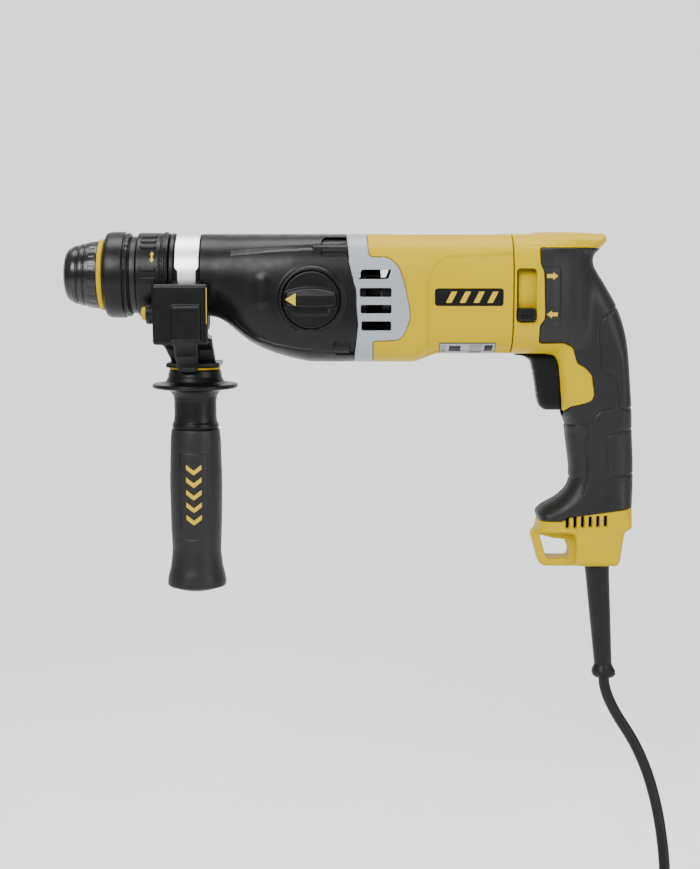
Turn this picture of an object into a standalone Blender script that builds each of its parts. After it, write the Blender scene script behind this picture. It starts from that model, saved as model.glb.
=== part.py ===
"""Corded rotary hammer with a quick-change chuck, modelled as an assembly of separate parts.

Frame: the origin is the middle of the main grip, the nose points to -X and +Z is up.
The tool is symmetric about y = 0 apart from its controls, so -Y is the user's left side.
Lengths below are in millimetres and are turned into metres when a mesh is made.
"""
import math

import bmesh
import bpy
from mathutils import Vector

MM = 0.001
GAP = 0.3               # clearance between neighbouring parts
THROUGH = 60.0          # half length of a cutter that goes right through the tool

# Axes
SPINDLE_Z = 118.3
MOTOR_DROP = 13.3       # motor axis below the spindle axis
LAYSHAFT_DROP = 33.0    # intermediate shaft below the spindle axis
MOTOR_Z = SPINDLE_Z - MOTOR_DROP
LAYSHAFT_Z = SPINDLE_Z - LAYSHAFT_DROP
SIDE_HANDLE_X = -291.0

# Stations along the tool
NOSE_X = -384.0
TRIM_X = -360.0
SLEEVE_X = -355.0
CHUCK_FLANGE_X = -341.2
CHUCK_END_X = -329.8
COLLAR_X = -306.4
COVER_X = -284.6
COVER_END_X = -180.3
VENT_END_X = -166.5
HOUSING_END_X = -67.0
TOP_Z = 147.2
BASE_Z = -90.7

# Walls and skins
COVER_WALL = 2.6
HOUSING_WALL = 2.8
RUBBER = 2.2
SHELL_WALL = 2.6

# Motions
KNOB_X = -206.8
KNOB_Z = 101.7

# Gears: teeth and face widths
MOTOR_TEETH = 7
LAYSHAFT_GEAR_TEETH = 35
PINION_TEETH = 9
SPINDLE_TEETH = 25
ROOT_HALF = 0.288       # half a tooth's thickness at its root, as a share of the pitch
TIP_HALF = 0.12         # the same at its tip

# Cord
CORD_R = 4.0
FLOOR_Z = -385.0
COIL_X = -11.6
COIL_INNER = 29.7
COIL_OUTER = 62.9
COIL_BOTTOM = FLOOR_Z + 1.8
COIL_TOP = COIL_BOTTOM + 33.0

MANY_CUTS = ("gearbox_cover", "handle_shell", "grip_rubber", "handle_bracket")

FINISHES = {
    "black_plastic": ((0.022, 0.022, 0.024, 1.0), 0.0, 0.45),
    "black_rubber": ((0.018, 0.018, 0.019, 1.0), 0.0, 0.75),
    "yellow_plastic": ((0.95, 0.62, 0.03, 1.0), 0.0, 0.38),
    "grey_plastic": ((0.33, 0.36, 0.39, 1.0), 0.0, 0.45),
    "steel": ((0.62, 0.62, 0.63, 1.0), 1.0, 0.32),
    "dark_steel": ((0.20, 0.20, 0.21, 1.0), 1.0, 0.40),
    "aluminium": ((0.74, 0.75, 0.76, 1.0), 1.0, 0.35),
    "copper": ((0.72, 0.35, 0.18, 1.0), 1.0, 0.35),
    "carbon": ((0.05, 0.05, 0.055, 1.0), 0.2, 0.70),
}


# ---------------------------------------------------------------- helpers

def clear_scene():
    for old in list(bpy.data.objects):
        bpy.data.objects.remove(old, do_unlink=True)


def finish_material(name, finish):
    colour, metallic, roughness = FINISHES[finish]
    material = bpy.data.materials.new(name + "_finish")
    material.use_nodes = True
    shader = material.node_tree.nodes["Principled BSDF"]
    shader.inputs["Base Color"].default_value = colour
    shader.inputs["Metallic"].default_value = metallic
    shader.inputs["Roughness"].default_value = roughness
    return material


def add_mesh(name, points, faces, finish=None, origin=(0.0, 0.0, 0.0), smooth=True):
    """Make one closed object from points in millimetres; without a finish it is a cutter."""
    mesh = bpy.data.meshes.new(name)
    shifted = [[(p[axis] - origin[axis]) * MM for axis in range(3)] for p in points]
    mesh.from_pydata(shifted, [], faces)
    work = bmesh.new()
    work.from_mesh(mesh)
    bmesh.ops.remove_doubles(work, verts=work.verts, dist=1e-6)
    bmesh.ops.recalc_face_normals(work, faces=work.faces)
    work.to_mesh(mesh)
    work.free()
    if smooth:
        mesh.shade_smooth()
        mesh.set_sharp_from_angle(angle=math.radians(35))
    part = bpy.data.objects.new(name, mesh)
    part.location = [value * MM for value in origin]
    bpy.context.collection.objects.link(part)
    if finish is None:
        part.hide_render = True
        part.display_type = 'WIRE'
    else:
        mesh.materials.append(finish_material(name, finish))
    return part


def combine(target, tool, operation):
    """Add a Boolean; the parts with many cuts need the manifold solver to stay closed."""
    modifier = target.modifiers.new(operation.lower() + "_" + tool.name, 'BOOLEAN')
    modifier.operation = operation
    modifier.solver = 'MANIFOLD' if target.name.startswith(MANY_CUTS) else 'EXACT'
    modifier.object = tool


def cut(target, *tools):
    for tool in tools:
        combine(target, tool, 'DIFFERENCE')


def join(target, *tools):
    for tool in tools:
        combine(target, tool, 'UNION')


def keep_inside(target, tool):
    combine(target, tool, 'INTERSECT')


def skin(rings, closed=False):
    """Faces between equal rings, with a cap at each end or, if closed, back to the first ring."""
    count = len(rings[0])
    points = [point for ring in rings for point in ring]
    faces = []
    spans = len(rings) if closed else len(rings) - 1
    for span in range(spans):
        a = span * count
        b = ((span + 1) % len(rings)) * count
        for i in range(count):
            j = (i + 1) % count
            faces.append((a + i, a + j, b + j, b + i))
    if not closed:
        faces.append(tuple(range(count)))
        faces.append(tuple(range((len(rings) - 1) * count, len(rings) * count)))
    return points, faces


def turned(name, outline, finish=None, centre=(0.0, 0.0, SPINDLE_Z), axis="X", segments=20,
           origin=None):
    """A body of revolution from a closed outline of (distance along the axis, radius)."""
    base = Vector(centre)
    along, side, up = {
        "X": (Vector((1, 0, 0)), Vector((0, 1, 0)), Vector((0, 0, 1))),
        "Y": (Vector((0, 1, 0)), Vector((0, 0, 1)), Vector((1, 0, 0))),
        "Z": (Vector((0, 0, 1)), Vector((1, 0, 0)), Vector((0, 1, 0))),
    }[axis]
    points = []
    rings = []
    for distance, radius in outline:
        middle = base + along * distance
        first = len(points)
        if radius == 0.0:
            points.append(middle)
            rings.append([first] * segments)
            continue
        for i in range(segments):
            angle = 2 * math.pi * i / segments
            points.append(middle + side * radius * math.cos(angle) + up * radius * math.sin(angle))
        rings.append(list(range(first, first + segments)))
    faces = []
    for span in range(len(rings)):
        a = rings[span]
        b = rings[(span + 1) % len(rings)]
        if a[0] == a[1] and b[0] == b[1]:
            continue
        for i in range(segments):
            j = (i + 1) % segments
            corners = [a[i], a[j], b[j], b[i]]
            unique = list(dict.fromkeys(corners))
            faces.append(tuple(unique))
    return add_mesh(name, points, faces, finish, origin or centre)


def ring_outline(start, end, inner, outer):
    return [(start, inner), (start, outer), (end, outer), (end, inner)]


def disc_outline(start, end, radius):
    return [(start, 0.0), (start, radius), (end, radius), (end, 0.0)]


def box(name, low, high, finish=None, origin=(0.0, 0.0, 0.0)):
    rings = []
    for z in (low[2], high[2]):
        rings.append([(low[0], low[1], z), (high[0], low[1], z), (high[0], high[1], z),
                      (low[0], high[1], z)])
    points, faces = skin(rings)
    return add_mesh(name, points, faces, finish, origin, smooth=False)


def side_prism(name, outline, half_width, finish=None, origin=(0.0, 0.0, 0.0)):
    """An outline of (x, z) points extruded across the tool from -half_width to +half_width."""
    rings = [[(x, y, z) for x, z in outline] for y in (-half_width, half_width)]
    points, faces = skin(rings)
    return add_mesh(name, points, faces, finish, origin, smooth=False)


def rounded(angle, power):
    """The point of a unit superellipse at an angle."""
    c = math.cos(angle)
    s = math.sin(angle)
    return (math.copysign(abs(c) ** (2 / power), c), math.copysign(abs(s) ** (2 / power), s))


def hull_x(name, stations, inset=0.0, finish=None, count=20):
    """A loft along X through stations of (x, z low, z high, half width, power)."""
    rings = []
    for x, z_low, z_high, half_width, power in stations:
        middle = (z_low + z_high) / 2
        half_height = (z_high - z_low) / 2 - inset
        ring = []
        for i in range(count):
            across, up = rounded(2 * math.pi * i / count, power)
            ring.append((x, across * (half_width - inset), middle + up * half_height))
        rings.append(ring)
    points, faces = skin(rings)
    return add_mesh(name, points, faces, finish)


def hull_z(name, stations, inset=0.0, finish=None, count=16):
    """A loft along Z through stations of (z, x front, x back, half width, power)."""
    rings = []
    for z, x_front, x_back, half_width, power in stations:
        middle = (x_front + x_back) / 2
        half_length = (x_back - x_front) / 2 - inset
        ring = []
        for i in range(count):
            fore, across = rounded(2 * math.pi * i / count, power)
            ring.append((middle + fore * half_length, across * (half_width - inset), z))
        rings.append(ring)
    points, faces = skin(rings)
    return add_mesh(name, points, faces, finish)


def gear_ring(teeth, root, tip):
    """Outline of a gear as (angle, radius): four points for each tapered tooth.

    One tooth points up, and every wheel has an odd number of teeth, so a space faces down
    and two wheels set one above the other are in mesh.
    """
    pitch = 2 * math.pi / teeth
    corners = []
    for tooth in range(teeth):
        middle = tooth * pitch
        corners.append((middle - pitch * ROOT_HALF, root))
        corners.append((middle - pitch * TIP_HALF, tip))
        corners.append((middle + pitch * TIP_HALF, tip))
        corners.append((middle + pitch * ROOT_HALF, root))
    return corners


def gear(name, corners, start, end, centre_z, bore=None, finish=None):
    """A toothed wheel about an axis along X, from x = start to x = end."""
    def place(x, angle, radius):
        return (x, radius * math.sin(angle), centre_z + radius * math.cos(angle))
    outer_start = [place(start, angle, radius) for angle, radius in corners]
    outer_end = [place(end, angle, radius) for angle, radius in corners]
    if bore is None:
        points, faces = skin([outer_start, outer_end])
    else:
        inner_end = [place(end, angle, bore) for angle, _ in corners]
        inner_start = [place(start, angle, bore) for angle, _ in corners]
        points, faces = skin([outer_start, outer_end, inner_end, inner_start], closed=True)
    return add_mesh(name, points, faces, finish, (start, 0.0, centre_z), smooth=False)


def arc_block(name, start, end, inner, outer, first, last, finish=None, steps=10):
    """Part of a ring about the motor axis between two angles in degrees from +Y."""
    rings = []
    for i in range(steps + 1):
        angle = math.radians(first + (last - first) * i / steps)
        c = math.cos(angle)
        s = math.sin(angle)
        rings.append([(start, inner * c, MOTOR_Z + inner * s), (start, outer * c, MOTOR_Z + outer * s),
                      (end, outer * c, MOTOR_Z + outer * s), (end, inner * c, MOTOR_Z + inner * s)])
    points, faces = skin(rings)
    return add_mesh(name, points, faces, finish, (start, 0.0, MOTOR_Z))


def smooth_route(points, step):
    """Points a step apart on a smooth curve through the route's own points."""
    route = [Vector(p) for p in points]
    fine = []
    for i in range(len(route) - 1):
        p1 = route[i]
        p2 = route[i + 1]
        p0 = route[i - 1] if i > 0 else p1 * 2 - p2
        p3 = route[i + 2] if i + 2 < len(route) else p2 * 2 - p1
        for k in range(24):
            t = k / 24
            fine.append(0.5 * (2 * p1 + (p2 - p0) * t + (2 * p0 - 5 * p1 + 4 * p2 - p3) * t * t
                               + (3 * p1 - p0 - 3 * p2 + p3) * t ** 3))
    fine.append(route[-1])
    kept = [fine[0]]
    travelled = 0.0
    for a, b in zip(fine, fine[1:]):
        travelled += (b - a).length
        if travelled >= step:
            kept.append(b)
            travelled = 0.0
    if (kept[-1] - fine[-1]).length < step / 2:
        kept.pop()
    kept.append(fine[-1])
    return kept


def wire(name, points, radius, resolution, finish):
    """A tube of round section along a list of points, with closed ends."""
    data = bpy.data.curves.new(name, 'CURVE')
    data.dimensions = '3D'
    data.bevel_depth = radius * MM
    data.bevel_resolution = resolution
    data.use_fill_caps = True
    spline = data.splines.new('POLY')
    spline.points.add(len(points) - 1)
    for knot, point in zip(spline.points, points):
        knot.co = (point[0] * MM, point[1] * MM, point[2] * MM, 1.0)
    part = bpy.data.objects.new(name, data)
    bpy.context.collection.objects.link(part)
    data.materials.append(finish_material(name, finish))
    return part


# ---------------------------------------------------------------- chuck

def build_nose_cap():
    turned("nose_cap", [
        (NOSE_X, 6.0), (NOSE_X, 8.6), (NOSE_X + 1.8, 17.3), (NOSE_X + 5, 20.4), (NOSE_X + 12, 22.2),
        (NOSE_X + 18, 23.4), (TRIM_X - GAP, 24.1), (TRIM_X - GAP, 15.5), (-376.0, 13.6),
        (-380.0, 12.6), (-380.0, 6.0)], "black_rubber")


def build_trim_ring():
    turned("yellow_trim_ring", ring_outline(TRIM_X, SLEEVE_X - GAP, 15.6, 25.2), "yellow_plastic")


def build_release_sleeve():
    web_end = SLEEVE_X + 6.0
    turned("release_sleeve", [
        (SLEEVE_X, 15.6), (SLEEVE_X, 28.0), (SLEEVE_X + 3, 30.2), (SLEEVE_X + 14, 30.6),
        (-335.0, 30.2), (-335.0, 27.5), (web_end, 27.5), (web_end, 15.6)], "black_plastic")


def build_chuck_body():
    ball_x = -368.0
    body = turned("chuck_body", [
        (-379.7, 5.2), (-379.7, 12.2), (-361.0, 12.2), (-361.0, 15.2), (CHUCK_FLANGE_X, 15.2),
        (CHUCK_FLANGE_X, 27.0), (CHUCK_END_X, 27.0), (CHUCK_END_X, 11.8), (SLEEVE_X - GAP, 11.8),
        (SLEEVE_X - GAP, 5.2)], "dark_steel")
    pocket = turned("cutter_ball_pocket", disc_outline(3.0, 15.0, 3.7),
                    centre=(ball_x, 0.0, SPINDLE_Z), axis="Z", segments=16)
    cut(body, pocket)
    ball_centre = (ball_x, 0.0, SPINDLE_Z + 8.8)
    half_turn = [(math.cos(math.pi * i / 8) * -3.3, math.sin(math.pi * i / 8) * 3.3) for i in range(9)]
    half_turn[0] = (-3.3, 0.0)
    half_turn[-1] = (3.3, 0.0)
    turned("locking_ball", half_turn, "steel", centre=ball_centre, segments=12)


def build_sleeve_spring():
    turns = 3
    per_turn = 12
    radius = 18.6
    start = SLEEVE_X + 7.2
    end = CHUCK_FLANGE_X - 1.2
    points = []
    for i in range(turns * per_turn + 1):
        angle = 2 * math.pi * i / per_turn
        x = start + (end - start) * i / (turns * per_turn)
        points.append((x, radius * math.cos(angle), SPINDLE_Z + radius * math.sin(angle)))
    wire("sleeve_spring", points, 0.8, 1, "steel")


def build_quick_change_ring():
    start = CHUCK_END_X + GAP
    turned("quick_change_ring", [
        (start, 14.5), (start, 29.9), (start + 2.5, 31.0), (-309.0, 31.0), (-306.8, 29.9),
        (-306.8, 14.5)], "black_plastic", segments=32)


# ---------------------------------------------------------------- hammer mechanism

def build_spindle():
    turned("spindle", [
        (-354.8, 5.6), (-354.8, 11.5), (CHUCK_END_X + GAP, 11.5), (CHUCK_END_X + GAP, 14.2),
        (-306.5, 14.2), (-306.5, 16.0), (-224.0, 16.0), (-224.0, 11.3), (-296.0, 11.3),
        (-296.0, 7.6), (-322.0, 7.6), (-322.0, 5.6)], "steel")
    gear("spindle_gear", gear_ring(SPINDLE_TEETH, 22.3, 25.6), -237.0, -228.0, SPINDLE_Z, 16.3,
         "steel")


def build_piston():
    eye_x = -208.0
    body = turned("piston", [
        (-252.0, 0.0), (-252.0, 10.0), (-250.0, 10.9), (-220.0, 10.9), (-218.0, 9.0),
        (-218.0, 0.0)], "steel", origin=(eye_x, 0.0, SPINDLE_Z))
    tail = box("tool_piston_tail", (-224.0, -6.5, SPINDLE_Z - 6.5), (eye_x + 7.5, 6.5, SPINDLE_Z + 6.5))
    join(body, tail)
    slot = box("cutter_piston_eye", (eye_x - 4.9, -3.5, SPINDLE_Z - 20), (eye_x + 4.9, 3.5, SPINDLE_Z + 3.7))
    cut(body, slot)


def build_striker_and_bolt():
    turned("striker", [
        (-287.0, 0.0), (-287.0, 8.0), (-285.0, 10.9), (-277.0, 10.9), (-277.0, 9.8), (-273.5, 9.8),
        (-273.5, 10.9), (-264.0, 10.9), (-262.0, 9.0), (-262.0, 0.0)], "steel")
    turned("impact_bolt", [
        (-335.0, 0.0), (-335.0, 4.0), (-333.5, 5.2), (-318.0, 5.2), (-318.0, 7.2), (-301.0, 7.2),
        (-299.0, 5.0), (-293.0, 5.0), (-293.0, 0.0)], "dark_steel", segments=20)
    turned("spindle_front_bearing", ring_outline(-297.0, -286.0, 16.3, 21.5), "steel")


def build_intermediate():
    shaft = turned("intermediate_shaft", disc_outline(-250.0, -180.8, 5.0), "steel",
                   centre=(0.0, 0.0, LAYSHAFT_Z), segments=16)
    pinion = gear("tool_pinion", gear_ring(PINION_TEETH, 7.0, 10.1), -237.0, -228.0,
                  LAYSHAFT_Z)
    join(shaft, pinion)
    gear("intermediate_gear", gear_ring(LAYSHAFT_GEAR_TEETH, 15.5, 17.0), -197.0, -189.0,
         LAYSHAFT_Z, 5.3, "steel")
    turned("intermediate_bearing", ring_outline(-186.5, -181.0, 5.3, 7.5), "steel",
           centre=(0.0, 0.0, LAYSHAFT_Z), segments=20)


def build_wobble():
    centre = (-208.0, 0.0, LAYSHAFT_Z)
    ring = turned("wobble_ring", ring_outline(-5.0, 5.0, 7.0, 13.0), "steel", centre=centre)
    finger = turned("tool_wobble_finger", disc_outline(10.0, 35.2, 3.0), centre=centre, axis="Z",
                    segments=14)
    join(ring, finger)


# ---------------------------------------------------------------- gearbox

COVER_STATIONS = [
    (COVER_X, SPINDLE_Z - 29.0, TOP_Z, 29.0, 2.0),
    (-272.8, 87.4, TOP_Z, 29.6, 2.0),
    (-265.7, 82.8, TOP_Z, 31.2, 2.2),
    (-258.6, 77.0, TOP_Z, 33.4, 2.4),
    (-251.5, 71.5, TOP_Z, 35.4, 2.6),
    (-244.4, 67.7, TOP_Z, 36.5, 2.7),
    (-234.0, 63.4, TOP_Z, 37.3, 2.9),
    (-220.0, 59.4, TOP_Z, 38.0, 3.1),
    (-208.6, 57.0, TOP_Z, 38.0, 3.2),
    (COVER_END_X, 57.0, TOP_Z, 38.0, 3.2),
]
SCREW_PLACES = [(-27.0, 134.5), (27.0, 134.5), (-27.0, 69.8), (27.0, 69.8)]


def stations_between(stations, start, end):
    """The same hull between two x values, with its end sections interpolated."""
    def at(x):
        for low, high in zip(stations, stations[1:]):
            if low[0] <= x <= high[0]:
                share = (x - low[0]) / (high[0] - low[0])
                return tuple(a + (b - a) * share for a, b in zip(low, high))
        nearest = stations[0] if x < stations[0][0] else stations[-1]
        return (x,) + nearest[1:]
    middle = [station for station in stations if start + 0.5 < station[0] < end - 0.5]
    return [at(start)] + middle + [at(end)]


def screw_bosses(target, start, end, radius, prefix):
    for index, (y, z) in enumerate(SCREW_PLACES, 1):
        join(target, turned("%s_boss_%d" % (prefix, index), disc_outline(start, end, radius),
                            centre=(0.0, y, z), segments=14))


def screw_holes(target, start, end, radius, prefix):
    for index, (y, z) in enumerate(SCREW_PLACES, 1):
        cut(target, turned("%s_hole_%d" % (prefix, index), disc_outline(start, end, radius),
                           centre=(0.0, y, z), segments=12))


def build_neck_collar():
    turned("neck_collar", [
        (COLLAR_X, 16.6), (COLLAR_X, 29.4), (COLLAR_X + 3.7, 29.4), (COLLAR_X + 3.7, 27.0),
        (COVER_X - GAP, 27.0), (COVER_X - GAP, 21.8), (-297.3, 21.8), (-297.3, 16.6)],
        "black_plastic", segments=32)


def build_gearbox_cover():
    cover = hull_x("gearbox_cover", COVER_STATIONS, finish="black_plastic")
    pad = turned("tool_knob_pad", disc_outline(-39.6, -33.0, 22.8), centre=(KNOB_X, 0.0, KNOB_Z),
                 axis="Y", segments=28)
    join(cover, pad)
    cavity = hull_x("cutter_cover_cavity", stations_between(COVER_STATIONS, -279.0, -170.0),
                    inset=COVER_WALL)
    mouth = turned("cutter_cover_mouth", disc_outline(-290.0, -270.0, 20.0))
    recess = turned("cutter_knob_recess", disc_outline(-55.0, -37.0, 20.1),
                    centre=(KNOB_X, 0.0, KNOB_Z), axis="Y", segments=28)
    shaft_hole = turned("cutter_knob_shaft", disc_outline(-50.0, -25.0, 5.4),
                        centre=(KNOB_X, 0.0, KNOB_Z), axis="Y", segments=16)
    cut(cover, cavity, mouth, recess, shaft_hole)
    screw_bosses(cover, -206.0, COVER_END_X, 5.3, "cover")
    screw_holes(cover, -230.0, -201.0, 4.5, "cover_head")
    screw_holes(cover, -210.0, -175.0, 2.4, "cover_shank")


def build_screws():
    for index, (y, z) in enumerate(SCREW_PLACES, 1):
        turned("gearbox_screw_%d" % index, [
            (-205.5, 0.0), (-205.5, 4.1), (-201.3, 4.1), (-201.3, 2.0), (-152.0, 2.0), (-152.0, 0.0)],
            "dark_steel", centre=(0.0, y, z), segments=12)


def build_bearing_plate():
    plate = hull_x("bearing_plate", [(-186.5, 65.0, 139.0, 33.0, 2.0), (-180.8, 65.0, 139.0, 33.0, 2.0)],
                   finish="aluminium")
    motor_seat = turned("cutter_motor_seat", disc_outline(-195.0, -170.0, 10.8),
                        centre=(0.0, 0.0, MOTOR_Z), segments=20)
    lay_seat = turned("cutter_lay_seat", disc_outline(-195.0, -170.0, 7.8),
                      centre=(0.0, 0.0, LAYSHAFT_Z), segments=20)
    cut(plate, motor_seat, lay_seat)


def build_mode_knob():
    centre = (KNOB_X, 0.0, KNOB_Z)
    knob = turned("mode_knob", disc_outline(-41.5, -37.3, 19.6), "black_plastic", centre=centre,
                  axis="Y", segments=32)
    bar = box("tool_knob_bar", (KNOB_X - 17.6, -46.5, KNOB_Z - 6.6), (KNOB_X + 17.6, -40.0, KNOB_Z + 6.6))
    stem = turned("tool_knob_stem", disc_outline(-38.5, -27.0, 5.0), centre=centre, axis="Y",
                  segments=16)
    pin = turned("tool_knob_pin", disc_outline(-28.0, -21.0, 1.6),
                 centre=(KNOB_X, 0.0, KNOB_Z + 3.0), axis="Y", segments=12)
    join(knob, bar, stem, pin)


def build_mode_fork():
    fork = box("mode_fork", (KNOB_X - 9.0, -26.5, KNOB_Z - 6.0), (KNOB_X + 9.0, -23.5, KNOB_Z + 12.0),
               "steel", origin=(KNOB_X, -25.0, KNOB_Z))
    slot = box("cutter_fork_slot", (KNOB_X - 2.6, -30.0, KNOB_Z - 2.5), (KNOB_X + 2.6, -20.0, KNOB_Z + 6.0))
    cut(fork, slot)


# ---------------------------------------------------------------- motor

HOUSING_STATIONS = [
    (COVER_END_X, 57.0, TOP_Z, 38.0, 3.2),
    (-134.0, 57.0, TOP_Z, 38.4, 3.1),
    (-127.0, 59.6, TOP_Z, 38.5, 3.0),
    (-119.0, 62.8, TOP_Z, 38.5, 3.0),
    (HOUSING_END_X, 62.8, TOP_Z, 38.5, 3.0),
]
VENT_PANEL = [
    (-190.0, 40.0), (VENT_END_X, 40.0), (VENT_END_X, 73.4), (-146.8, 74.1), (-143.4, 76.9),
    (-138.6, 87.9), (-138.6, 93.4), (-142.1, 112.0), (-145.6, 123.6), (-152.5, 130.4),
    (VENT_END_X, 131.1), (VENT_END_X, 165.0), (-190.0, 165.0),
]
VENT_SLOTS = [(116.8, 121.6), (104.4, 109.2), (93.4, 97.8), (81.7, 86.5)]


def grown(outline, margin):
    """An outline of (x, z) points moved outwards by a margin."""
    count = len(outline)
    area = sum(outline[i][0] * outline[(i + 1) % count][1] - outline[(i + 1) % count][0] * outline[i][1]
               for i in range(count))
    side = 1.0 if area > 0 else -1.0
    result = []
    for i in range(count):
        before = Vector(outline[i]) - Vector(outline[i - 1])
        after = Vector(outline[(i + 1) % count]) - Vector(outline[i])
        n1 = Vector((before.y, -before.x)).normalized() * side
        n2 = Vector((after.y, -after.x)).normalized() * side
        shift = (n1 + n2) / max(0.3, 1.0 + n1.dot(n2))
        result.append((outline[i][0] + shift.x * margin, outline[i][1] + shift.y * margin))
    return result


def build_vent_ring():
    ring = hull_x("vent_ring", stations_between(HOUSING_STATIONS, COVER_END_X + GAP, -135.0),
                  finish="grey_plastic")
    cavity = hull_x("cutter_vent_cavity", stations_between(HOUSING_STATIONS, -195.0, -120.0),
                    inset=HOUSING_WALL)
    cut(ring, cavity)
    keep_inside(ring, side_prism("tool_vent_panel", VENT_PANEL, THROUGH))
    screw_bosses(ring, COVER_END_X + GAP, VENT_END_X, 5.0, "vent")
    screw_holes(ring, -190.0, -160.0, 2.4, "vent_shank")
    for index, (low, high) in enumerate(VENT_SLOTS, 1):
        cut(ring, box("cutter_vent_slot_%d" % index, (-172.0, -THROUGH, low), (-150.0, THROUGH, high)))


def build_motor_housing():
    housing = hull_x("motor_housing", stations_between(HOUSING_STATIONS, VENT_END_X + GAP, HOUSING_END_X),
                     finish="yellow_plastic")
    cavity = hull_x("cutter_housing_cavity", stations_between(HOUSING_STATIONS, -180.0, -50.0),
                    inset=HOUSING_WALL)
    cut(housing, cavity)
    screw_bosses(housing, VENT_END_X + GAP, -148.0, 4.8, "housing")
    screw_holes(housing, -175.0, -150.0, 2.4, "housing_shank")
    cut(housing, side_prism("cutter_panel_seat", grown(VENT_PANEL, GAP), THROUGH))


def build_stator():
    centre = (0.0, 0.0, MOTOR_Z)
    core = turned("stator_core", ring_outline(-122.0, -72.0, 18.3, 33.0), "dark_steel", centre=centre,
                  segments=36)
    for index, first in enumerate((27.0, 137.0, 207.0, 317.0), 1):
        cut(core, arc_block("cutter_winding_slot_%d" % index, -130.0, -60.0, 15.0, 27.5, first,
                            first + 16.0, steps=3))
    for name, turn in (("field_winding_upper", 0.0), ("field_winding_lower", 180.0)):
        coil = arc_block(name, -130.5, -122.6, 20.0, 27.0, turn + 29.0, turn + 151.0, "copper")
        rear = arc_block("tool_rear_%s" % name, -71.4, -63.6, 20.0, 27.0, turn + 29.0, turn + 151.0)
        join(coil, rear)
        for side, first in (("a", 29.7), ("b", 139.3)):
            leg = arc_block("tool_leg_%s_%s" % (side, name), -126.0, -68.0, 20.4, 26.6, turn + first,
                            turn + first + 11.0, steps=2)
            join(coil, leg)


def build_armature():
    centre = (0.0, 0.0, MOTOR_Z)
    shaft = turned("armature_shaft", disc_outline(-188.5, -36.6, 5.0), "steel", centre=centre,
                   segments=16)
    pinion = gear("tool_motor_pinion", gear_ring(MOTOR_TEETH, 2.6, 4.0), -197.5, -188.0,
                  MOTOR_Z)
    join(shaft, pinion)
    turned("armature_core", [
        (-130.0, 5.3), (-130.0, 12.0), (-126.0, 15.0), (-122.0, 15.0), (-122.0, 17.6), (-72.0, 17.6),
        (-72.0, 15.0), (-69.0, 14.0), (-67.0, 11.0), (-67.0, 5.3)], "dark_steel", centre=centre)
    turned("commutator", ring_outline(-66.0, -49.0, 5.3, 12.0), "copper", centre=centre)
    blades = 11
    corners = []
    for blade in range(blades):
        middle = 2 * math.pi * blade / blades
        corners.append((middle - 0.11, 12.5))
        corners.append((middle - 0.035, 32.0))
        corners.append((middle + 0.035, 32.0))
        corners.append((middle + 0.11, 12.5))
    fan = gear("fan", corners, -170.5, -158.5, MOTOR_Z, 5.3, "black_plastic")
    disc = turned("tool_fan_disc", ring_outline(-172.5, -169.0, 5.3, 32.4), centre=centre, segments=22)
    join(fan, disc)
    turned("motor_front_bearing", ring_outline(-186.5, -181.0, 5.3, 10.5), "steel", centre=centre)
    turned("motor_rear_bearing", ring_outline(-44.0, -37.0, 5.3, 9.5), "steel", centre=centre)


def build_brushes():
    centre = (0.0, 0.0, MOTOR_Z)
    ring = turned("brush_ring", ring_outline(-61.0, -49.5, 28.2, 32.4), "black_plastic", centre=centre,
                  segments=32)
    lever = box("tool_lever", (-62.5, -42.2, MOTOR_Z - 14.0), (-54.0, -30.0, MOTOR_Z - 3.6))
    join(ring, lever)
    for name, side in (("carbon_brush_left", -1.0), ("carbon_brush_right", 1.0)):
        low, high = sorted((side * 12.4, side * 27.6))
        box(name, (-62.0, low, MOTOR_Z - 3.4), (-54.0, high, MOTOR_Z + 3.4), "carbon", origin=centre)


# ---------------------------------------------------------------- rear handle

CAP_STATIONS = [
    (HOUSING_END_X + GAP, 62.8, TOP_Z, 38.5, 3.0),
    (-50.0, 62.8, TOP_Z, 38.2, 3.0),
    (-38.0, 63.2, TOP_Z + 0.4, 35.6, 3.0),
    (-27.0, 63.6, TOP_Z + 0.8, 30.0, 2.9),
    (-18.0, 64.2, TOP_Z + 1.0, 24.0, 2.8),
    (-11.5, 65.0, TOP_Z + 1.0, 17.0, 2.6),
]
GRIP_STATIONS = [
    (148.6, -38.0, -1.0, 11.0, 2.6),
    (147.4, -42.0, 1.0, 15.0, 2.8),
    (143.0, -42.0, 1.8, 18.0, 2.9),
    (138.1, -42.0, -2.4, 19.0, 2.9),
    (131.7, -42.0, -8.0, 19.3, 2.9),
    (126.1, -42.0, -7.9, 19.4, 2.9),
    (114.7, -42.0, -1.3, 19.4, 2.8),
    (103.4, -42.0, 6.1, 19.4, 2.7),
    (92.0, -42.0, 11.3, 19.2, 2.6),
    (74.9, -42.0, 16.6, 18.8, 2.6),
    (63.4, -39.0, 18.3, 18.4, 2.6),
    (54.8, -33.0, 19.2, 18.1, 2.6),
    (37.0, -31.2, 20.6, 17.8, 2.6),
    (21.0, -30.3, 21.6, 17.4, 2.6),
    (14.8, -27.0, 22.0, 17.2, 2.6),
    (-5.8, -24.3, 22.9, 17.0, 2.6),
    (-29.1, -22.5, 23.7, 17.0, 2.6),
    (-36.0, -26.0, 23.5, 17.4, 2.6),
    (-41.0, -32.0, 23.4, 18.0, 2.8),
    (-46.6, -42.5, 23.3, 18.8, 3.0),
    (-52.0, -46.8, 23.2, 19.4, 3.2),
    (-56.0, -45.6, 23.0, 19.6, 3.2),
]
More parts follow.
